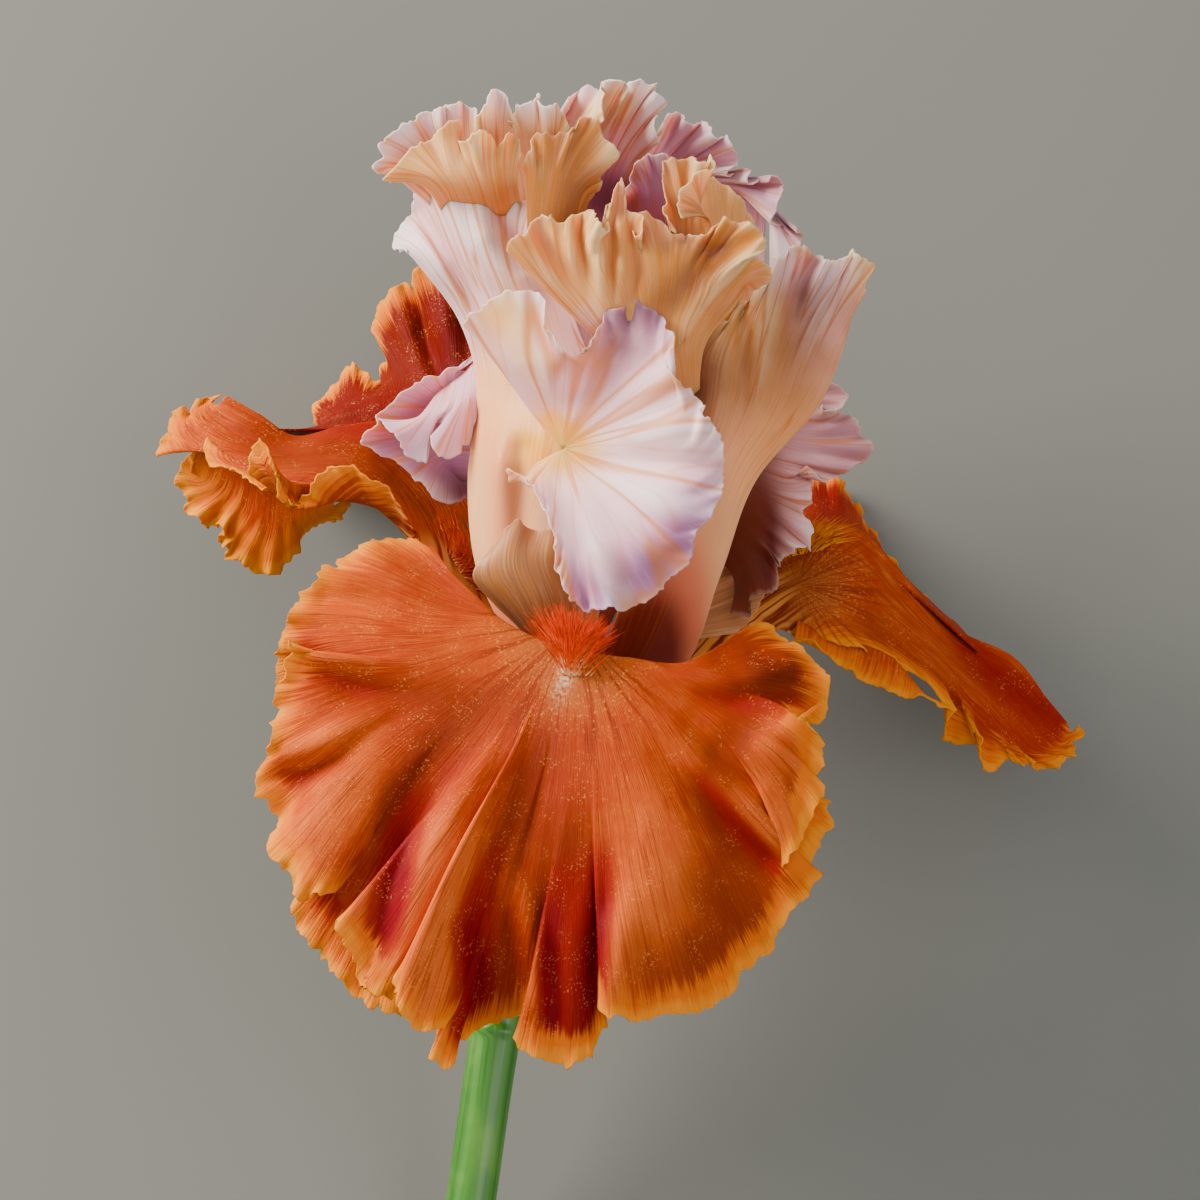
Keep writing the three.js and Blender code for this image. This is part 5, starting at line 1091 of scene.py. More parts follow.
class Finish:
    """A procedural material, built up with short calls. Its colour is painted in layers."""

    def __init__(self, name, roughness=0.5, **sockets):
        self.material = bpy.data.materials.new(name)
        self.material.use_nodes = True
        self.tree = self.material.node_tree
        self.shader = self.tree.nodes["Principled BSDF"]
        self.shader.inputs["Roughness"].default_value = roughness
        for socket, value in sockets.items():
            self.shader.inputs[socket.replace("_", " ")].default_value = value

    def put(self, socket, value):
        if isinstance(value, bpy.types.NodeSocket):
            self.tree.links.new(value, socket)
        else:
            socket.default_value = value

    def node(self, kind, inputs, **settings):
        made = self.tree.nodes.new(kind)
        for key, value in settings.items():
            setattr(made, key, value)
        for key, value in inputs.items():
            self.put(made.inputs[key], value)
        return made

    def attributes(self, *names):
        return [self.node("ShaderNodeAttribute", {}, attribute_name=name).outputs["Fac"] for name in names]

    def op(self, operation, a, b=0.0):
        return self.node("ShaderNodeMath", {0: a, 1: b}, operation=operation).outputs[0]

    def times(self, a, b):
        return self.op("MULTIPLY", a, b)

    def plus(self, a, b):
        return self.op("ADD", a, b)

    def less(self, a, b):
        return self.op("SUBTRACT", a, b)

    def step(self, value, low, high):
        """0 below low, 1 above high, smooth between; low may be the larger."""
        flip = low > high
        inputs = {"Value": value, "From Min": min(low, high), "From Max": max(low, high)}
        made = self.node("ShaderNodeMapRange", inputs, interpolation_type="SMOOTHSTEP")
        made.inputs["To Min"].default_value = 1.0 if flip else 0.0
        made.inputs["To Max"].default_value = 0.0 if flip else 1.0
        return made.outputs[0]

    def mix(self, factor, a, b):
        made = self.node("ShaderNodeMix", {}, data_type="RGBA")
        colours = [s for s in made.inputs if s.type == "RGBA"]
        self.put(made.inputs["Factor"], factor)
        self.put(colours[0], a)
        self.put(colours[1], b)
        return [s for s in made.outputs if s.type == "RGBA"][0]

    def ground(self, factor, low, high):
        """The first layer of the colour: low where factor is 0, high where it is 1."""
        self.painted = self.mix(factor, ink(low), ink(high))

    def paint(self, factor, colour, share=None):
        """One more layer, a hex code or another layer's colour, where factor is 1, at a share of it."""
        if share is not None:
            factor = self.times(factor, share)
        self.painted = self.mix(factor, self.painted, ink(colour) if isinstance(colour, str) else colour)

    def vector(self, x, y, z=0.0):
        return self.node("ShaderNodeCombineXYZ", {"X": x, "Y": y, "Z": z}).outputs[0]

    def noise(self, vector, scale=1.0, detail=2.0, roughness=0.5):
        inputs = {"Vector": vector, "Scale": scale, "Detail": detail, "Roughness": roughness}
        return self.node("ShaderNodeTexNoise", inputs).outputs["Fac"]

    def streaks(self, line, fine, way, coarse, seed, detail, roughness=0.5):
        """Noise drawn out along the blade: fine across its lines and coarse along them."""
        along = self.times(way, coarse) if coarse else 0.0
        return self.noise(self.vector(self.times(line, fine), along, seed), 1.0, detail, roughness)

    def lines(self, line, way, spacing, length, width, seed):
        """Thin wandering lines that run along the blade, about spacing mm apart."""
        field = self.streaks(line, 0.8 / spacing, way, 1 / length, seed, 1.0, 0.4)
        return self.step(self.op("ABSOLUTE", self.less(field, 0.5)), width, 0.0)

    def place(self):
        return self.node("ShaderNodeTexCoord", {}).outputs["Object"]

    def soften(self, weight, radius, scale):
        self.shader.inputs["Subsurface Weight"].default_value = weight
        self.shader.inputs["Subsurface Radius"].default_value = radius
        self.shader.inputs["Subsurface Scale"].default_value = scale

    def done(self, height=None, strength=0.0, distance=0.0):
        """The material, with its painted colour and a bump from height."""
        self.put(self.shader.inputs["Base Color"], self.painted)
        if height is not None:
            inputs = {"Height": height, "Strength": strength, "Distance": distance}
            self.put(self.shader.inputs["Normal"], self.node("ShaderNodeBump", inputs).outputs["Normal"])
        return self.material


# What each kind of material reads at the points of its mesh.
FALL_TINTS = ("stain", "painted_shade", "gilt", "cream")
STANDARD_TINTS = ("blush", "lilac", "throat", "glow", "shade")
STYLE_VALUES = ("line", "way")
GREEN_VALUES = ("line", "way", "end")
FALL_VALUES = ("line", "way", "rim", "fold", "haft", "heart", "ray", "reach", *FALL_TINTS)
STANDARD_VALUES = ("line", "way", "rim", "fold", *STANDARD_TINTS)


def fall_finish():
    f = Finish("fall_velvet", 0.55, Specular_IOR_Level=0.06)
    f.soften(0.35, (1.0, 0.35, 0.08), 0.001)
    line, way, rim, fold, haft, heart, ray, reach, stain, painted_shade, gilt, cream = f.attributes(*FALL_VALUES)
    cloudy = f.noise(f.place(), 60.0, 4.0)
    drift = f.less(cloudy, 0.5)
    # velvet and veins, with painted shade in the folds' troughs and a painted highlight on their crests
    veins = f.lines(line, way, 1.8, 45.0, 0.045, 1.0)
    fine = f.streaks(line, 2.0, way, 0.16, 3.0, 3.0, 0.6)
    grain = f.noise(f.place(), 900.0, 2.0)
    f.ground(f.step(cloudy, 0.35, 0.68), "#a43000", "#bf4c06")
    f.paint(f.step(fine, 0.5, 0.66), "#dd7e30", 0.4)
    f.paint(f.step(grain, 0.5, 0.7), "#8a2c08", 0.25)
    depth = f.plus(fold, f.times(drift, 2.5))
    # darker red in the troughs: partly the petal's own crimson, partly painted shade
    f.paint(f.step(depth, 0.2, -3.0), "#8e1a08", 0.6)
    # a painted highlight on the crests
    f.paint(f.step(depth, 0.6, 3.4), "#de702a", 0.4)
    f.paint(veins, "#7c2206", 0.45)
    f.paint(f.lines(line, way, 0.9, 18.0, 0.06, 4.0), "#8c2c08", 0.2)
    # painted shade in the folds' hollows and where the fall lies in shade, and the crimson, partly its own
    # colour and partly painted shade on the shadowed side of its laps
    f.paint(f.step(f.plus(painted_shade, drift), 0.0, 1.0), "#742004", 0.8)
    crimson_and_shade_blotch = f.plus(stain, f.times(drift, 0.5))
    f.paint(f.step(crimson_and_shade_blotch, 0.06, 0.5), "#8a1006", 0.9)
    f.paint(f.step(crimson_and_shade_blotch, 0.45, 1.05), "#70000e", 0.95)
    # the deepest painted shade, where a fall lies in deep shade
    f.paint(f.step(painted_shade, 1.4, 2.4), "#380a02", 0.8)
    # painted glints, and the gold rim
    painted_glints = f.step(f.noise(f.place(), 2600.0, 1.0), 0.6, 0.7)
    f.paint(f.times(painted_glints, f.step(f.noise(f.place(), 240.0, 2.0), 0.45, 0.65)), "#f09a48", 0.4)
    ragged = f.streaks(line, 0.35, way, None, 7.0, 3.0, 0.65)
    streak = f.streaks(line, 1.8, way, 0.05, 9.0, 2.0)
    edge = f.plus(rim, f.times(f.less(ragged, 0.5), 10.0))
    edge = f.plus(edge, f.times(f.less(streak, 0.5), 10.0))
    edge = f.less(edge, f.times(gilt, 6.0))
    f.paint(f.step(edge, 6.0, 1.5), "#d06400", 0.95)
    bright = f.plus(f.plus(rim, f.times(streak, 3.0)), f.times(gilt, -1.5))
    f.paint(f.step(bright, 4.0, 1.8), "#e08600", 0.8)
    # the striped and dotted heart below the beard, and the haft
    patch = f.plus(heart, f.times(drift, 0.6))
    f.paint(f.step(patch, 0.3, 0.9), "#a4602a", 0.6)
    stripes = f.lines(f.times(ray, 8.0), reach, 0.9, 40.0, 0.09, 5.0)
    f.paint(f.times(stripes, f.step(patch, 0.05, 0.3)), "#84240a", 0.75)
    dashes = f.streaks(ray, 34.0, reach, 1.5, 11.0, 2.5)
    f.paint(f.times(f.step(dashes, 0.58, 0.68), f.step(patch, 0.15, 0.55)), "#e2a04c", 0.5)
    speckle = f.step(f.noise(f.place(), 1500.0, 1.0), 0.35, 0.6)
    f.paint(f.times(cream, speckle), "#f0cfa4", 0.9)
    bands = f.lines(line, way, 1.5, 45.0, 0.11, 13.0)
    f.paint(haft, f.mix(bands, ink("#d8883e"), ink("#7c220a")))
    relief = f.plus(f.times(veins, -0.5), f.plus(f.times(fine, 0.9), f.times(grain, 0.25)))
    return f.done(relief, 0.4, 0.0005)


def standard_finish():
    f = Finish("standard_silk", 0.45, Specular_IOR_Level=0.2)
    f.soften(0.6, (1.0, 0.5, 0.35), 0.002)
    line, way, rim, fold, blush, lilac, throat, glow, shade = f.attributes(*STANDARD_VALUES)
    drift = f.times(f.less(f.noise(f.place(), 50.0, 3.0), 0.5), 0.5)
    # pink silk, peach and lilac, with a painted highlight on the crests
    tone = f.plus(blush, drift)
    f.ground(f.step(tone, 0.05, 0.5), "#f6c0c4", "#eaa662")
    f.paint(f.step(tone, 0.5, 1.0), "#c47e30")
    f.paint(f.step(f.plus(lilac, drift), 0.1, 1.0), "#b078a8")
    # the painted highlight's colour on the crests
    crest = f.mix(f.step(tone, 0.0, 0.4), ink("#fbdfe2"), ink("#fbd29a"))
    f.paint(f.step(fold, 0.2, 1.8), crest, 0.55)
    # the claw, warm and then dark towards the tube: partly its own colour, partly painted shade deep in the
    # throat
    f.paint(f.step(f.plus(throat, f.times(drift, 0.5)), 0.07, 0.4), "#f6ab76")
    f.paint(f.step(throat, 0.42, 0.8), "#d87450")
    f.paint(f.step(throat, 0.75, 1.15), "#741a04")
    f.paint(f.step(f.plus(glow, drift), 0.05, 0.9), "#f7a616", 0.9)
    # veins, strongest away from the claw
    calm = f.step(throat, 0.5, 0.1)
    strong = f.plus(0.1, f.times(calm, 0.6))
    fine = f.streaks(line, 2.6, way, 0.12, 3.0, 2.0)
    f.paint(f.step(fine, 0.5, 0.68), "#f6ddd6", f.times(calm, 0.16))
    veins = f.lines(line, way, 3.4, 50.0, 0.04, 1.0)
    f.paint(veins, "#cc7a10", strong)
    f.paint(f.lines(line, way, 1.9, 22.0, 0.05, 6.0), "#c47a34", f.times(strong, 0.35))
    # painted shade in the folds' troughs, and where a ply lies in shade
    f.paint(f.step(fold, -0.3, -2.0), "#a8645c", 0.35)
    dark = f.mix(f.step(lilac, 0.0, 0.6), ink("#582008"), ink("#46182a"))
    f.paint(f.step(f.plus(shade, drift), 0.05, 0.8), dark)
    f.paint(f.step(rim, 1.0, 0.0), "#f4e2cc", 0.1)
    relief = f.times(f.plus(f.times(veins, -0.5), f.times(fine, 0.6)), f.plus(0.25, calm))
    return f.done(relief, 0.18, 0.0004)


def style_finish():
    f = Finish("style_cream", 0.45, Specular_IOR_Level=0.3)
    f.soften(0.4, (1.0, 0.6, 0.4), 0.0015)
    line, way = f.attributes(*STYLE_VALUES)
    cloudy = f.noise(f.place(), 110.0, 3.0)
    fine = f.streaks(line, 2.4, way, 0.1, 2.0, 2.0)
    # the ground is painted shade: tan, darkening to brown towards the tube, where the arms lie deep among the
    # petals; the pale streaks are their cream
    f.ground(f.step(f.plus(way, f.times(f.less(cloudy, 0.5), 14.0)), 12.0, 26.0), "#64301e", "#a66c3e")
    f.paint(f.step(fine, 0.45, 0.7), "#dcb080", 0.3)
    f.paint(f.lines(line, way, 1.7, 30.0, 0.05, 2.0), "#b8721c", 0.4)
    f.paint(f.lines(line, way, 2.6, 40.0, 0.04, 7.0), "#5e2c18", 0.3)
    return f.done(fine, 0.12, 0.0004)


def green_finish(name, light, dark, pale, roughness, rib_scale):
    f = Finish(name, roughness, Coat_Weight=0.12, Coat_Roughness=0.25, Specular_IOR_Level=0.5)
    f.soften(0.12, (0.5, 1.0, 0.2), 0.0012)
    line, way, end = f.attributes(*GREEN_VALUES)
    ribs = f.streaks(line, rib_scale, way, 0.012, 0.0, 3.0)
    mottle = f.noise(f.place(), 90.0, 4.0)
    f.ground(f.step(ribs, 0.38, 0.64), light, dark)
    f.paint(f.step(mottle, 0.5, 0.75), pale, 0.35)
    f.paint(end, pale)
    return f.done(f.plus(ribs, f.times(mottle, 0.3)), 0.25, 0.0004)


def hair_finish(name, root, middle, tip):
    f = Finish(name, 0.6, Specular_IOR_Level=0.05)
    (way,) = f.attributes("way")
    f.ground(f.step(way, 0.0, 0.4), root, middle)
    f.paint(f.step(way, 0.3, 0.75), tip)
    return f.done()


def stamen_finish():
    f = Finish("stamen_cream", 0.6)
    (way,) = f.attributes("way")
    grains = f.noise(f.place(), 1800.0, 2.0)
    f.ground(f.step(way, 0.55, 0.62), "#e9dfc8", "#e8d48e")
    f.paint(f.step(grains, 0.5, 0.65), "#c9a85a", 0.5)
    return f.done(grains, 0.3, 0.0002)


fall_velvet = fall_finish()
standard_silk = standard_finish()
style_cream = style_finish()
stem_green = green_finish("stem_green", "#3f7d1c", "#26600e", "#7aa83c", 0.35, 0.8)
ovary_green = green_finish("ovary_green", "#6f9f45", "#4f8030", "#b9c98a", 0.4, 0.9)
bract_green = green_finish("bract_green", "#5c9637", "#3f7a22", "#b2bd79", 0.5, 1.6)
orange_hair = hair_finish("beard_orange", "#f0c890", "#e25a00", "#c43000")
golden_hair = hair_finish("beard_golden", "#e8a040", "#f0a818", "#d87404")
stamen_cream = stamen_finish()


# ---- the petals --------------------------------------------------------------------------------


def petal(node, plies, looks, material, keys):
    """A petal's object from its plies, which replaces its solid."""
    blades = [fine_blade(ply, look) for ply, look in zip(plies, looks)]
    for blade, look in zip(blades, looks):
        blade["values"] = blade_values(blade, look)
    piece = slab_mesh(node + "_petal", blades, keys, material)
    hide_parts(node)
    return blades


FRONT_FRILLS = [(0.8, 4.5, 5.0), (0.8, 2.0, 2.6), (0.4, 0.9, 1.2)]
FALL_FRILLS = [(0.7, 4.5, 5.0), (0.7, 2.0, 2.6), (0.35, 0.9, 1.2)]
STANDARD_FRILLS = [(0.8, 6.0, 6.0), (0.6, 2.4, 3.0), (0.3, 1.0, 1.4)]
FLAP_FRILLS = [(0.4, 5.0, 5.0), (0.2, 2.0, 2.0)]

# The front fall's soft folds, seen from the front: each a path of (x, y, height) in mm, and how
# far it falls off to the left and to the right of the way it runs, which is said once where
# both are the same. Sharp ones are laps of one pleat on the next.
FRONT_RELIEF = [
    ([(-51, 1, 1.5), (-43, -2.5, 1.6), (-38, -4, 1.3), (-31, -5, 0.7), (-24, -5, 0)], 7, 2.6),
    ([(-50, -3, -2), (-42, -6, -2.4), (-34, -8, -1.4), (-26, -7.5, 0)], 3.5),
    ([(-24, 9, 0), (-28, 13, -0.8), (-33, 17.5, -1.1)], 2.6, 2.2),
    ([(-26, 7, 0), (-33, 11, 1), (-39, 16, 1.4)], 2.4),
    ([(-28, 5, 0), (-37, 8, -1), (-46, 9, -1.6)], 1.8, 2.4),
    ([(-58, -22, -2.2), (-52, -20.5, -3), (-45, -18, -1.2), (-38, -14, 0)], 2.2),
    ([(-55, -15, 1.4), (-47, -15, 1.6), (-38, -10, 0.6)], 2.6, 4),
    (
        [
            (-12, -9, 0), (-20, -15, -1.2), (-27.5, -23, -2.6), (-32, -31, -3), (-35.5, -40, -2.6),
            (-37, -48, -1.2),
        ],
        2.6, 8,
    ),
    ([(-34, -15, 0), (-43, -23, 1.6), (-48, -31, 2.2), (-51, -38, 1.5)], 5, 4.5),
    (
        [
            (-16, -17, 0.2), (-20, -23, 0.8), (-23.2, -27.5, 1.6), (-26.6, -32, 2), (-29.2, -37, 2.4),
            (-31.6, -43, 2.5), (-33, -50, 2.2), (-33, -58, 1.5),
        ],
        9, 2.6,
    ),
    ([(-34, -26, 0), (-37, -31, 0.6), (-40, -38, 0.9), (-43, -44.5, 0.6)], 4, 3),
    ([(-9, -12, -0.4), (-13, -22, -1.8), (-18, -32, -2.2), (-20.5, -44, -2.8), (-20, -60, -3)], 8, 4.5),
    ([(-13, -30, 0), (-14.4, -38, 1.8), (-11.6, -48, 2.4), (-10.4, -58, 2.2)], 2.6, 3.2),
    ([(-8, -34, 0), (-9.3, -44, -0.9), (-8.6, -52, -1.2), (-8, -60, -1)], 2, 2.2),
    ([(-3.6, -38, 0), (-4, -46, 0.8), (-5, -56, 1.2), (-5.6, -63, 0.9)], 3, 2.6),
    ([(0, -34, 0), (1, -42, -1.4), (-0.5, -50, -1.7), (-1, -62, -1.4)], 2.4),
    ([(6, -34, 0.5), (5, -41, 1.6), (2.3, -47, 2.2), (1.2, -53, 2.2), (0.9, -60, 1.7)], 8, 2.6),
    ([(8, -10, 0.3), (12, -20, 1.6), (13.5, -32, 2.4), (13, -42, 2), (10, -50, 1)], 4.5, 9),
    ([(-4, -20, -0.4), (-5, -32, -1.4), (-4, -42, -1.4), (-4, -50, -0.8)], 6),
    ([(8, -45, 0), (7, -52, -1.4), (5, -60, -1.2)], 2.2),
    ([(11, -44, 0), (13, -52, 1.2), (15, -59, 1)], 1.8, 2.2),
    ([(15, -38, 0), (21, -45, -1), (25, -50, -1)], 2.6),
    ([(8, -13, 0), (14, -22, -2), (20, -28.5, -3.2), (27, -35, -3)], 3, 4),
    ([(9, -11, 0.2), (16, -18.5, 1.1), (22, -25, 1.8), (28, -31, 2.2), (32, -35.5, 1.8)], 7, 2.6),
    ([(13, -11, 0), (19, -17, -1.8), (25, -22, -1.2)], 2.2),
    ([(23, -19.5, 0.5), (27, -16, 1.4), (32, -12.5, 1.6)], 2.6, 5),
    ([(14, -7, 0), (22, -9, -1.8), (31, -8.5, -1.6)], 2.6),
    ([(10, -3.5, 0.3), (20, -4.6, 1.2), (31, -2.5, 1.4)], 2.4),
]

# Where the front fall is crimson: its own colour low in its folds, and painted shade on the shadowed side of
# its laps and in its hollows.
FRONT_CRIMSON_AND_SHADE = [
    ([(18, 1, 0.1), (26, -2, 0.2), (36, -4, 0.2)], 3.4),
    ([(17, -7, 0.3), (24, -9, 0.45), (32, -9, 0.3)], 2.4, 2.8),
    ([(-26, -20, 0), (-31, -26, 0.6), (-33, -32, 1), (-34.6, -38, 1), (-36.5, -46, 0.8)], 3.4),
    ([(-32, -37, 0.4), (-34, -44, 0.6), (-35.5, -50, 0.3)], 1.5, 2.0),
    ([(-52, -42, 0.4), (-46, -41, 0.8), (-42.5, -46, 0.5)], 1.8),
    ([(-15, -28, 0.1), (-19.4, -38, 0.5), (-21.5, -46, 1), (-21, -56, 1.1), (-23, -64, 0.8)], 3.4, 3.0),
    ([(-6, -34, 0.2), (-8, -42, 0.8), (-9, -52, 1.1), (-8.6, -62, 1)], 3.4, 1.6),
    ([(1, -30, 0.1), (0.8, -39, 0.7), (-0.2, -47, 1.1), (-1, -56, 1.1), (-1.4, -64, 0.9)], 2.0, 4.0),
    ([(13, -17, 0.1), (19, -23.5, 0.4), (25, -30.5, 0.6), (31, -37, 0.4)], 1.4, 2.8),
    ([(-48, -4, 0.3), (-40, -6.5, 0.4), (-32, -7.5, 0.2)], 2.0, 2.4),
    ([(-57, -23, 0.4), (-50, -21.5, 0.45), (-43, -18, 0.2)], 1.8),
]

# Its painted shade: darker in the hollows of its folds and where it lies in shade.
FRONT_PAINTED_SHADE = [
    ([(-44, -7, 0.8), (-30, -8, 0.9), (-16, -7, 0.5)], 5.0),
    ([(-22, -11, 0.4), (-28.5, -16, 1.2), (-34, -23, 1.1), (-36, -30, 0.7)], 3.5),
    ([(-8, -9, 0.3), (-10.5, -18, 1), (-13, -25, 1), (-17, -34, 0.9)], 4.0, 3.0),
    ([(-3, -22, 0.3), (-5, -32, 0.9), (-6, -40, 1), (-6, -50, 0.6)], 6.0),
    ([(26, -8, 0.9), (21.6, -16, 1.2), (18.5, -24, 0.9), (22, -31, 0.8)], 4.0),
    ([(29, -36, 0.6), (28, -42, 0.6)], 4.0),
    ([(20, -40, 0.8), (22, -48, 0.9), (12, -53, 0.9)], 7.0),
    ([(31, -19, 0.3), (33, -24, 1), (35, -31, 0.9)], 2.0),
    ([(16, -1, 0.5), (25, -1, 1.9), (32, -4, 1.9)], 5.0),
    ([(-22, 12, 0.5), (-30, 13, 0.4), (-40, 12, 0.2)], 4.0),
]

# The pale line that runs out of the beard.
FRONT_CREAM = [([(-4.5, 6, 1), (-5, 0, 1), (-5.6, -4, 0.8), (-7, -8, 0.2)], 1.3)]

# Where its gold edge shows on a fold.
FRONT_GILT = [
    ([(-44, -41, 0.4), (-42, -47, 0.9), (-38, -50, 0.9), (-36.5, -55, 0.8), (-33, -62, 0.7)], 1.6, 2.2),
    ([(-54, -26, 0.3), (-53, -33, 0.9), (-49, -39, 0.6)], 3.0),
    ([(33, -12, 0.8), (36, -18, 0.8), (33.5, -25, 0.8), (35, -31, 0.9), (32, -36, 0.8)], 2.0),
    ([(24, -16, 0.4), (28, -13, 0.6), (33, -11.5, 0.8)], 1.0),
    ([(-28, -66, 0.6), (-25, -60, 0.2)], 1.6),
    ([(-7, -66, 0.8), (-3, -66, 0.8)], 2.0),
    ([(30, -46, 0.5), (20, -55, 0.5), (10, -61, 0.5)], 2.5),
]

front_blades = petal(
    "fall_front", FALL_FRONT,
    [
        {
            "seed": 1, "step": 0.66, "row_step": 1.32, "crowd": 1.7, "frills": FRONT_FRILLS, "haft": 0.4,
            "relief": FRONT_RELIEF, "heart": (-4.5, 4.0, 13.0, 18.0), "notch": (0.7, 1.6), "thick": 0.6,
            "stain": (0.0, *FRONT_CRIMSON_AND_SHADE), "painted_shade": (0.0, *FRONT_PAINTED_SHADE), "cream": (0.0, *FRONT_CREAM),
            "gilt": (0.0, *FRONT_GILT),
        },
    ],
    fall_velvet, FALL_VALUES,
)

# The folds of the left fall, of its lobe that stands behind, and of the right fall.
LEFT_RELIEF = [
    ([(-79, 36, 0), (-68, 35, 1.2), (-58, 31, 1.6), (-50, 29, 0.6)], 2.2, 2.6),
    ([(-70, 41, 0), (-62, 37, -1.2), (-52, 33, -1), (-44, 32, 0)], 2.0),
    ([(-56, 37, 0), (-46, 37.5, 1), (-36, 35, 0.8), (-28, 28, 0)], 2.4),
    ([(-44, 31, 0), (-36, 29, -1), (-29, 23, -0.8)], 2.0),
]
BACK_LOBE_RELIEF = [
    ([(-36, 63, 0), (-34, 56, 1.4), (-31, 47, 1)], 1.8),
    ([(-32, 65, -0.4), (-31, 56, -1.6), (-28, 47, -1)], 1.6),
    ([(-28, 66, 0.4), (-27.5, 57, 1.4), (-25, 48, 0.8)], 1.8),
    ([(-46, 48, 0.4), (-40, 44, 1.2), (-34, 41, 0.6)], 1.6),
    ([(-48, 43, 0), (-42, 41, -1), (-36, 39, 0)], 1.3),
]
RIGHT_RELIEF = [
    ([(42, 17, 0), (50, 7, 1.2), (58, -2, 1.6), (66, -8, 1)], 3.0, 2.2),
    ([(40, 10, 0), (48, 2, -1), (56, -6, -1.2), (62, -11, 0)], 2.0),
    ([(38, 5, 0), (45, -1, 0.9), (52, -7, 0.6)], 1.8),
    ([(60, 3, 0), (68, -3, -1.6), (76, -9, -1.4)], 2.4),
    ([(66, 3, 0), (74, -4, 1.2), (79, -10, 1)], 2.0),
]

# On the side falls the darker tint is painted shade, deepest on the left fall's lobe that stands behind, and
# their crimson is partly painted shade.
left_blades = petal(
    "fall_left", FALL_LEFT,
    [
        {
            "seed": 3, "step": 0.47, "row_step": 0.48, "crowd": 1.1, "frills": FALL_FRILLS,
            "relief": LEFT_RELIEF, "lengthwise": 0.4, "heart": (-22, 12, 8.0, 8.0), "thick": 0.6,
            "painted_shade": (0.4, ([(-60, 36, 0.5), (-44, 33, 0.8), (-36, 32, 0.6)], 4.0)),
            "stain": (0.05, ([(-50, 39, 0.3), (-38, 38, 0.5), (-30, 32, 0.2)], 3.0)),
        },
        {"seed": 4, "step": 0.45, "frills": FALL_FRILLS, "gilt": (0.8,)},
        {
            "seed": 5, "step": 0.5, "frills": FALL_FRILLS, "relief": BACK_LOBE_RELIEF, "painted_shade": (2.0,),
            "stain": (
                0.4,
                ([(-27, 62, 0.4), (-26, 45, 0.6)], 3.5),
                ([(-44, 42, 0.4), (-34, 41, 0.5)], 3),
            ),
        },
    ],
    fall_velvet, FALL_VALUES,
)
right_blades = petal(
    "fall_right", FALL_RIGHT,
    [
        {
            "seed": 6, "step": 0.45, "row_step": 0.45, "crowd": 1.1, "frills": FALL_FRILLS,
            "relief": RIGHT_RELIEF, "lengthwise": 0.43, "heart": (34, 11, 12.0, 8.0), "thick": 0.6,
            "painted_shade": (0.15, ([(46, 4, 0.4), (60, -8, 0.4)], 5.0)),
            "stain": (
                0.05,
                ([(60, 4, 0.2), (68, -4, 0.6), (80, -13, 0.6)], 3.5),
                ([(62, -10, 0.3), (76, -18, 0.3)], 3),
            ),
            "gilt": (0.0, ([(48, -4, 0.3), (56, -8, 0.7), (62, -12, 0.4)], 2.5)),
        },
        {"seed": 8, "step": 0.4, "frills": [(0.3, 3.0, 2.0)], "thick": 0.5},
        {
            "seed": 7, "step": 0.5, "frills": FALL_FRILLS, "painted_shade": (0.5,),
            "stain": (0.3, ([(38, 34, 0.5), (40, 26, 0.4)], 3.0)),
        },
    ],
    fall_velvet, FALL_VALUES,
)

# The folds of the left front standard's claw and panel, and of its fan.
PANEL_RELIEF = [
    ([(-32, 72, 1.4), (-27, 65, 2.4), (-22, 57, 1.4)], 1.0, 4.5),
    ([(-26, 78, 0.7), (-20, 70, 2.4), (-13, 61, 1)], 3.0),
    ([(-18, 79, -2), (-15, 70, -2.7), (-12, 64, 0)], 2.0, 2.4),
    ([(-30, 75, -1.4), (-24, 66, -2), (-18, 58, 0)], 2.0),
    ([(-17, 16, 0), (-17.5, 32, 1.7), (-18, 46, 1)], 3.0),
    ([(-13.5, 18, -0.7), (-13, 34, -1.7)], 2.2),
    ([(-20, 20, -0.7), (-21, 40, -1.4)], 1.6),
    ([(-16, 33, 0.4), (-9, 34.5, 3), (-4, 34.5, 3.4)], 6.0),
]
FAN_RELIEF = [
    ([(-3, 43, 0), (4, 52, -2.9), (6, 60, -5.2)], 7.0, 6.0),
    ([(-9, 42, 0), (-12, 49, 1.3), (-14, 58, 1.3)], 3.5),
    ([(-8, 40, 0.4), (-8.5, 48, 0.8)], 3.0),
    ([(-1, 34, 0.3), (9, 37, 1.6), (19, 38, 1.3)], 3.0),
    ([(0, 33, 0), (9, 32, -1.3), (20, 31, -1.3)], 2.2),
    ([(-1, 30, 0.3), (8, 26, 1.3), (18, 23, 1)], 3.0),
    ([(-1, 28, 0), (6, 20, -1.3), (12, 13, -1.6)], 2.2),
    ([(-4, 26, 0.3), (0, 16, 1.6), (3, 8, 1.3)], 2.6),
    ([(-6, 25, 0), (-4, 15, -1), (-3, 8, -1)], 1.8),
    ([(0, 38, 0), (7, 43, 1), (13, 47, 1)], 2.2),
]

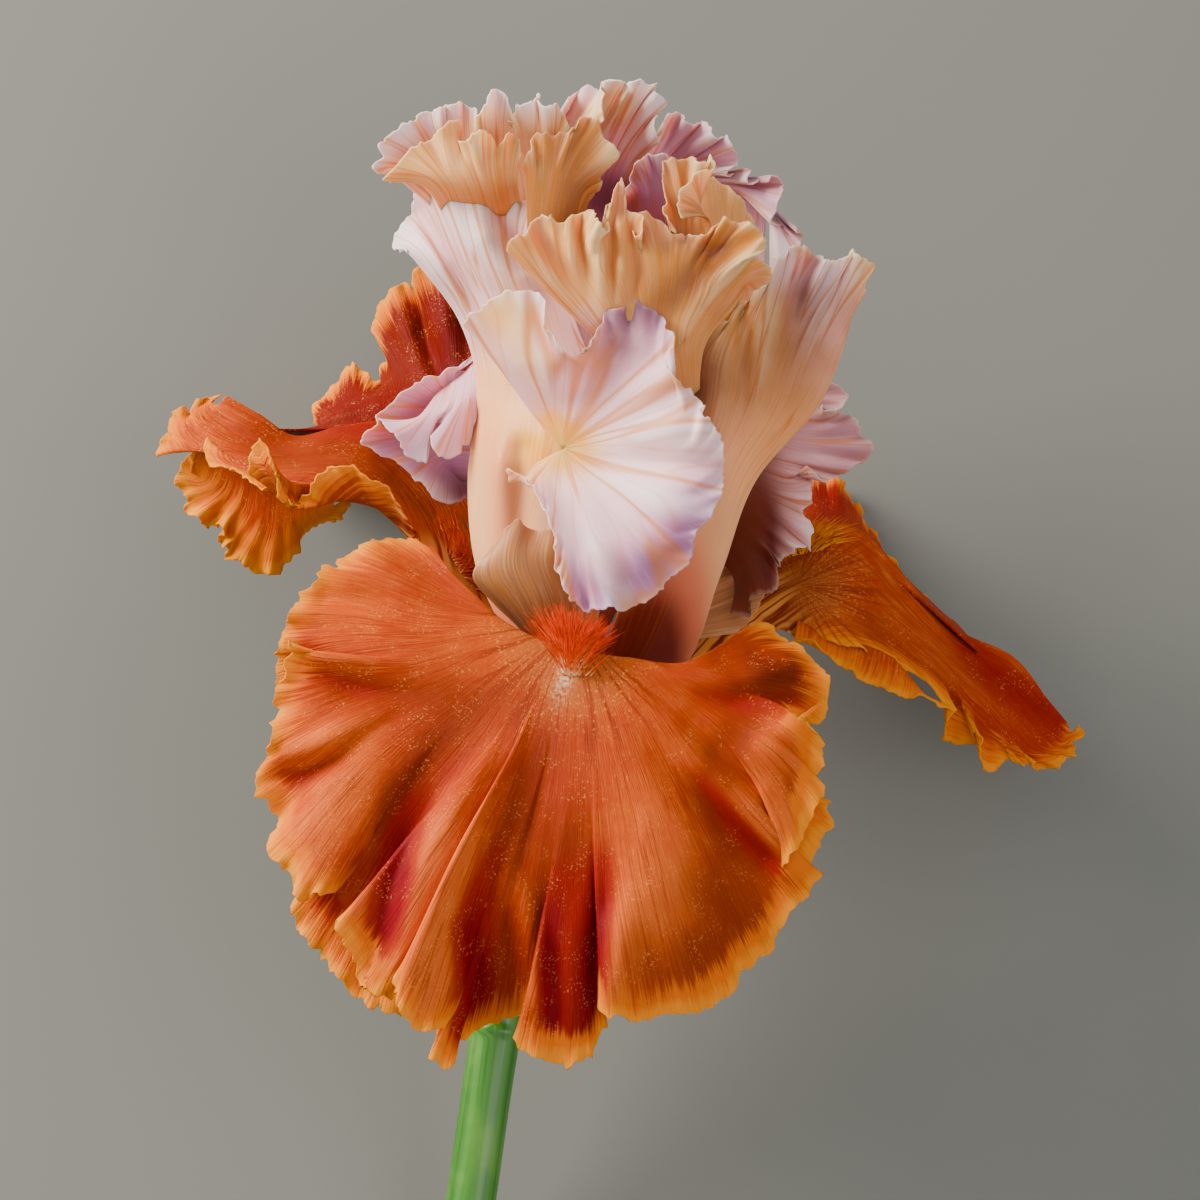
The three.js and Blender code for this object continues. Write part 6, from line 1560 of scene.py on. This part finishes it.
# The folds of the ruffle over the right front standard's middle, of the dome and of the wing.
RUFFLE_RELIEF = [
    ([(-14, 70, 0.8), (-8, 63, 1.4), (-2, 56, 0.2)], 2.2),
    ([(-11, 72, -1), (-6, 64, -1.4), (-2, 58, 0)], 1.6),
    ([(-7, 73, 0.8), (-4.5, 66, 1.2), (-1, 58, 0)], 1.8),
    ([(-3.6, 73, -0.8), (-2.6, 66, -1.6), (-1, 58, 0)], 1.3),
    ([(-0.6, 73, 1.4), (0, 66, 1.8), (0.6, 57, 0.4)], 0.8, 1.8),
    ([(2, 72, -0.8), (2, 64, -1), (2, 58, 0)], 1.0),
    ([(3.6, 72, 1), (3.6, 65, 1.2), (3.4, 58, 0)], 1.2),
    ([(6, 71, -1.2), (6, 64, -1.4), (5, 56, 0)], 1.4, 1.6),
    ([(27.5, 69.5, 1.6), (20, 61.5, 2), (14.5, 53.5, 1)], 1.0, 3.2),
    ([(26, 64, -1), (19, 57, -1.4), (15, 50, 0)], 2.0),
    ([(14, 69, -1.6), (19, 67, -2), (25, 69, -1.2)], 2.0),
]
DOME_RELIEF = [([(8.5, 84, 1.5), (9.6, 91, 4.5), (8.8, 98, 4)], 6.0, 2.0)]
WING_RELIEF = [
    ([(17, 14, 0), (19, 34, 1), (20, 52, 1)], 3.0),
    ([(21, 14, 0), (23.5, 36, -1), (24.5, 58, -1.6)], 2.0),
    ([(26, 40, 0.4), (28, 52, 1.4), (29, 64, 1.2)], 2.4),
    ([(29, 40, 0), (33, 54, -1.2), (34, 67, -1.2)], 2.0),
    ([(31, 42, 0), (37, 55, 1), (39, 66, 1)], 2.2),
    ([(34, 46, 0), (40, 58, -0.8), (42, 66, -1)], 1.8),
]

# How each ply of the standards is drawn and tinted.
STANDARD_LOOKS = {
    "claw": {
        "seed": 11, "step": 0.54, "relief": PANEL_RELIEF, "thick": 0.55,
        "blush": (0.12, ([(-10, 54, 0.2), (-14, 66, 0.1), (-20, 74, 0.08)], 4.0)),
        "throat": (
            0.0,
            (
                [
                    (-16, 4, 0.9), (-16, 13, 0.6), (-17, 22, 0.6), (-18, 36, 0.6), (-19, 46, 0.45),
                    (-21, 54, 0.15),
                ],
                7.0, 9.0,
            ),
        ),
        "glow": (0.0, ([(-5, 34, 1), (-10, 35, 0.9), (-14, 39, 0.4), (-16, 46, 0.1)], 6.0)),
        "shade": (0.0, ([(-8, 58, 0.2), (-2, 53, 0.4)], 5.0)),
    },
    "pale_ruffle": {
        "seed": 12, "step": 0.35,
        "blush": (0.35, ([(-38, 84, -0.3), (-28, 93, -0.35), (-18, 95, -0.3), (-8, 94, -0.3)], 3.0)),
    },
    "peach_ruffle": {
        "seed": 13, "step": 0.35,
        "blush": (0.55, ([(-24, 76, 0.25), (-14, 80, 0.3)], 4.0)),
        "shade": (0.0, ([(-22, 76, 0.2), (-12, 79, 0.35)], 3)),
    },
    "front_lobe": {
        "seed": 15, "step": 0.35, "blush": (0.95,),
        "shade": (0.1, ([(-6, 62, 0.6), (-4, 84, 0.25)], 5)),
    },
    "fan": {
        "seed": 14, "step": 0.4, "relief": FAN_RELIEF, "focus": (-6.3, 34.3),
        "blush": (-0.05, ([(-16, 57, 0.45), (-12, 50, 0.35), (-9, 42, 0.2)], 7)),
        # lilac, and on the upper right lobe a mauve that is partly painted shade where the lobe turns from
        # the light
        "lilac": (
            0.08,
            ([(2, 47, 0.4), (6, 56, 0.8)], 9),
            ([(-2, 10, 0.8), (8, 12, 0.8), (17, 22, 0.8)], 8),
        ),
        "shade": (
            0.0,
            ([(1, 46, 0.1), (4, 51, 0.5), (6, 58, 0.5)], 8),
            ([(-2, 12, 0.3), (6, 13, 0.3), (15, 21, 0.3)], 6),
        ),
        "glow": (
            0.0,
            ([(-15, 31, 0.5), (-7, 34.5, 1), (-2, 34, 0.7), (4, 33, 0.1)], 6),
            ([(-12, 44, 0.2), (-7, 36, 0.5)], 3),
        ),
    },
    "wing": {
        "seed": 21, "step": 0.5, "relief": WING_RELIEF, "thick": 0.55,
        "blush": (0.6, ([(28, 66, -0.4), (38, 64, -0.5), (38, 48, -0.35)], 8.0)),
        "lilac": (0.0, ([(32, 68, 0.3), (43, 64, 0.35)], 8.0)),
        "shade": (
            0.24,
            ([(34, 60, 0.3), (30, 48, 0.2), (20, 46, 0.2)], 7),
            ([(17, 56, 0.3), (15, 40, 0.25), (17, 28, 0.1)], 4.0),
        ),
        "throat": (
            0.0,
            ([(6, -4, 1.5), (9, 6, 1.15), (14, 20, 0.6), (19, 34, 0.4), (21, 46, 0.1)], 14.0, 12.0),
        ),
    },
    "middle_ruffle": {
        "seed": 23, "step": 0.35, "relief": RUFFLE_RELIEF,
        "blush": (0.85, ([(-2, 56, -0.5), (4, 50, -0.5)], 5.0)),
        "shade": (
            0.0,
            ([(9, 56, 0.35), (15, 62, 0.5), (20, 67, 0.5)], 5.0, 4.0),
            ([(2, 50, 0.4), (2, 58, 0.2)], 4),
        ),
    },
    "cupped_lobe": {"seed": 24, "step": 0.35, "blush": (0.8,), "shade": (0.35,)},
    "broad_lobe": {"seed": 22, "step": 0.35, "blush": (0.7,), "shade": (0.15,)},
    "dome": {
        "seed": 31, "step": 0.54, "row_step": 1.05, "crowd": 1.4, "thick": 0.55, "relief": DOME_RELIEF,
        "blush": (0.1, ([(-2, 92, 0.35), (3, 94, 0.3)], 3.0)),
        "lilac": (0.4, ([(14, 88, 0.1), (30, 76, 0.2)], 8.0), ([(0, 78, 0.5), (8, 78, 0.5)], 7.0)),
        "shade": (0.0, ([(0, 78, 0.5), (12, 77, 0.6)], 6), ([(14, 88, 0.2), (32, 74, 0.2)], 6)),
        "throat": (0.0, ([(-4, -4, 1.5), (0, 8, 1.4), (3, 16, 0.9), (4, 26, 0.4)], 12.0)),
    },
    "purple_lobe": {"seed": 32, "step": 0.45, "row_step": 0.7, "lilac": (0.8,), "shade": (0.36,)},
    "left_flap": {
        "seed": 33, "step": 0.45, "row_step": 0.7,
        "frills": FLAP_FRILLS,
        "lilac": (0.75,),
        "shade": (0.0, ([(-30, 31, 0.3), (-24, 27, 0.6)], 4.0)),
    },
    "flap_fold": {
        "seed": 35, "step": 0.45, "row_step": 0.7,
        "frills": FLAP_FRILLS,
        "lilac": (0.55,),
    },
    "right_lobe": {
        "seed": 34, "step": 0.45, "row_step": 0.7, "blush": (0.2,),
        "lilac": (0.5, ([(26, 26, -0.4), (24, 8, -0.5)], 7)),
        "shade": (0.34, ([(26, 32, 0.3), (26, 22, 0.7), (24, 8, 1)], 6)),
    },
}
for look in STANDARD_LOOKS.values():
    look.setdefault("frills", STANDARD_FRILLS)


def standard(node, plies, *names):
    looks = [STANDARD_LOOKS[name] for name in names]
    petal(node, plies, looks, standard_silk, STANDARD_VALUES)


standard("standard_left", STANDARD_LEFT, "claw", "pale_ruffle", "peach_ruffle", "front_lobe", "fan")
standard("standard_right", STANDARD_RIGHT, "wing", "middle_ruffle", "cupped_lobe", "broad_lobe")
standard("standard_back", STANDARD_BACK, "dome", "purple_lobe", "left_flap", "flap_fold", "right_lobe")

STYLE_LOOK = {"step": 0.3, "frills": [(0.5, 4.0, 3.0), (0.2, 1.6, 1.2)], "thick": 0.55}
STYLE_ARMS = {"front": (STYLE_FRONT, 41), "left": (STYLE_LEFT, 42), "right": (STYLE_RIGHT, 43)}
for place, (plies, seed) in STYLE_ARMS.items():
    look = dict(STYLE_LOOK, seed=seed)
    petal("style_arm_" + place, plies, [look], style_cream, STYLE_VALUES)


# ---- stem, ovary and bracts --------------------------------------------------------------------


def green_tube(name, rings, material):
    """A tube with flat ends, and the lines and lengths that its ribs follow."""
    closed = np.concatenate([rings, rings[:, :1]], axis=1)
    values = {
        "line": lengths(closed, 1)[:, :-1].reshape(-1),
        "way": lengths(rings, 0).reshape(-1),
        "end": np.zeros(rings.shape[0] * rings.shape[1]),
    }
    return tubes_mesh(name, [rings], values, material, flat_ends=True)


def ovary_rings():
    profile = curve_through([[radius, height, 0] for radius, height in OVARY_PROFILE])(np.linspace(0, 1, 90))
    radii, heights = profile[:, 0], profile[:, 1]
    centres = TUBE_TOP - tube_up * OVARY_LENGTH + heights[:, None] * tube_up
    angles = np.linspace(0, 2 * math.pi, STEM_SIDES, endpoint=False)
    ribs = 1 + 0.035 * np.cos(6 * angles)[None, :] * smooth(34, 10, heights)[:, None] - 0.02
    return tube_grid(centres, radii, STEM_SIDES, ribs)


stem = green_tube("stem_stalk", stem_points, stem_green)
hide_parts("stem")
ovary = green_tube("ovary_and_tube", ovary_rings(), ovary_green)
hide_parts("ovary_tube")

BRACT_LOOK = {"step": 0.4, "frills": [(0.25, 6.0, 4.0)], "notch": (0.12, 2.0), "thick": 0.5}


def bract(node, plies, seed):
    blade = fine_blade(plies[0], dict(BRACT_LOOK, seed=seed))
    blade["values"] = {
        "line": blade["us"][None, :] * 30.0,
        "way": blade["way"],
        "end": 0.8 * smooth(6, 0, blade["rim"]) + 0.2 * smooth(0.5, 1.0, blade["vs"])[:, None],
    }
    piece = slab_mesh(node + "_bract", [blade], GREEN_VALUES, bract_green)
    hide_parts(node)


bract("spathe_outer", SPATHE_OUTER, 51)
bract("spathe_inner", SPATHE_INNER, 52)


# ---- beards and stamens ------------------------------------------------------------------------

UPWARD = np.array([0.0, 1.0, 0.2])
HAIR_RADIUS = 0.105
HAIR_SIDES = 4
HAIR_STEPS = 7
HAIR_HELPER = np.array([0.31, 0.17, 0.93])  # a way that no hair or filament runs
STAMEN_SIDES = 14
STAMEN_STEPS = 50
# Each stamen's place round the tube in degrees, its course, and last the tip of its anther.
STAMENS = {
    "front": (0, [-7, -8, 7.5], [-6.8, -3.5, 11.1], [-6.5, 0, 14.3], [-6.4, 1.8, 15.8]),
    "left": (-120, [-11.3, -8.5, -3.15], [-12.5, -4.5, -4.6], [-15.7, 4.2, -7.15], [-17, 7.5, -8.6]),
    "right": (120, [-1.7, -9, -3.8], [2.5, -4.6, -6], [8, 0.5, -9], [10.5, 3, -9.8]),
}


def hair(root, way, droop, length):
    """Rings of one tapering hair that bends towards droop."""
    t = np.linspace(0, 1, HAIR_STEPS)[:, None]
    centres = root + way * (t * length) + droop * (t * t * length * 0.35)
    return tube_grid(centres, HAIR_RADIUS * (1 - 0.75 * t[:, 0] ** 2), HAIR_SIDES, helper=HAIR_HELPER)


def beard(node, blade, u_range, v_range, count, length, seed, side, lift, material):
    """Hairs that stand on a fall's haft and fan out from its middle, joined in one object."""
    draw = np.random.default_rng(seed)
    points, normal = blade["points"], blade["normal"] * side
    across, _, _ = grid_frame(points)
    middle, width = sum(u_range) / 2, u_range[1] - u_range[0]
    hairs = []
    for _ in range(count):
        part = draw.uniform(0, 1)
        v = v_range[0] + (v_range[1] - v_range[0]) * part
        u = np.clip(draw.normal(middle, width * (0.32 - 0.22 * part)), *u_range)
        j = int(np.searchsorted(blade["vs"], v))
        i = int(np.searchsorted(blade["us"], u))
        lean = (u - middle) / width * 4.2 + draw.normal(0, 0.4)
        way = unit(normal[j, i] + across[j, i] * lean + lift * draw.uniform(0.1, 0.9))
        droop = unit(across[j, i] * lean + lift * 0.6 + draw.normal(0, 0.25, 3))
        reach = length * draw.uniform(0.55, 1.0)
        hairs.append(hair(points[j, i] - normal[j, i] * 0.1, way, droop, reach))
    ways = np.tile(np.repeat(np.linspace(0, 1, HAIR_STEPS), HAIR_SIDES), count)
    piece = tubes_mesh(node + "_hairs", hairs, {"way": ways}, material)
    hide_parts(node)


def stamen(place, degrees, *course):
    root = on_tube(degrees, STAMEN_RING, 0.45)
    t = np.linspace(0, 1, STAMEN_STEPS)
    centres = curve_through([root.tolist(), *course])(t)
    radii = 0.45 + 0.45 * smooth(0.55, 0.66, t) * (1 - smooth(0.93, 1.0, t) * 0.7)
    rings = tube_grid(centres, radii, STAMEN_SIDES, helper=HAIR_HELPER)
    ways = np.repeat(t, STAMEN_SIDES)
    piece = tubes_mesh("stamen_" + place + "_filament", [rings], {"way": ways}, stamen_cream)
    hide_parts("stamen_" + place)


beard("beard_front", front_blades[0], (0.41, 0.58), (0.34, 0.53), 520, 6.8, 61, -1, UPWARD, orange_hair)
beard("beard_left", left_blades[0], (0.27, 0.42), (0.2, 0.45), 220, 3.8, 62, 1, UPWARD * 0.3, orange_hair)
beard("beard_right", right_blades[0], (0.4, 0.52), (0.05, 0.3), 320, 4.6, 63, -1, UPWARD * 0.4, golden_hair)
for place, course in STAMENS.items():
    stamen(place, *course)


# ---- floor, light and camera -------------------------------------------------------------------

FLOOR_SIZE = 3.0
CAMERA_DISTANCE = 1500.0  # mm from the bloom
FRAME_WIDTH = 204.0  # mm across the picture at the bloom
SENSOR_WIDTH = 36.0
VIEW_MIDDLE = [0.0, 8.5, 12.0]
LIGHT_TARGET = [0.0, 10.0, 10.0]


def floor_finish():
    f = Finish("floor_pale", 0.85)
    f.ground(f.noise(f.place(), 2.0, 2.0), "#64655f", "#6b6c66")
    return f.done()


def make_floor():
    mesh = bpy.data.meshes.new("floor")
    half = FLOOR_SIZE / 2
    corners = [(-half, -half, 0), (half, -half, 0), (half, half, 0), (-half, half, 0)]
    mesh.from_pydata(corners, [], [(0, 1, 2, 3)])
    floor = bpy.data.objects.new("floor", mesh)
    mesh.materials.append(floor_finish())
    bpy.context.scene.collection.objects.link(floor)


def laid_direction(x, y, z):
    """A direction in the flower's own frame, as the part's frame has it."""
    return Vector(LIE @ unit(np.array([x, y, z], dtype=float)))


def add_light(name, direction, distance, size, energy, colour):
    light = bpy.data.lights.new(name, "AREA")
    light.shape = "DISK"
    light.size = size
    light.energy = energy
    light.color = colour
    lamp = bpy.data.objects.new(name, light)
    target = Vector(to_part(np.array(LIGHT_TARGET)))
    lamp.location = target + laid_direction(*direction) * distance
    lamp.rotation_euler = (target - lamp.location).to_track_quat("-Z", "Y").to_euler()
    bpy.context.scene.collection.objects.link(lamp)


def make_lights():
    add_light("key", (-0.8, 0.6, 0.22), 0.9, 0.6, 27.0, (1.0, 0.93, 0.84))
    add_light("fill", (0.8, -0.2, 1.0), 1.2, 0.9, 5.0, (1.0, 0.96, 0.94))
    world = bpy.data.worlds.new("studio")
    world.use_nodes = True
    world.node_tree.nodes["Background"].inputs["Color"].default_value = (0.8, 0.81, 0.82, 1)
    world.node_tree.nodes["Background"].inputs["Strength"].default_value = 1.0
    bpy.context.scene.world = world


def make_camera():
    camera = bpy.data.cameras.new("camera")
    camera.sensor_width = SENSOR_WIDTH
    camera.lens = SENSOR_WIDTH * CAMERA_DISTANCE / FRAME_WIDTH
    camera.clip_end = 20.0
    eye = bpy.data.objects.new("camera", camera)
    out = laid_direction(0, 0, 1)
    up = laid_direction(0, 1, 0)
    eye.matrix_world = Matrix((up.cross(out), up, out)).transposed().to_4x4()
    eye.location = Vector(to_part(np.array(VIEW_MIDDLE))) + out * (CAMERA_DISTANCE * MM)
    bpy.context.scene.collection.objects.link(eye)
    bpy.context.scene.camera = eye


make_floor()
make_lights()
make_camera()
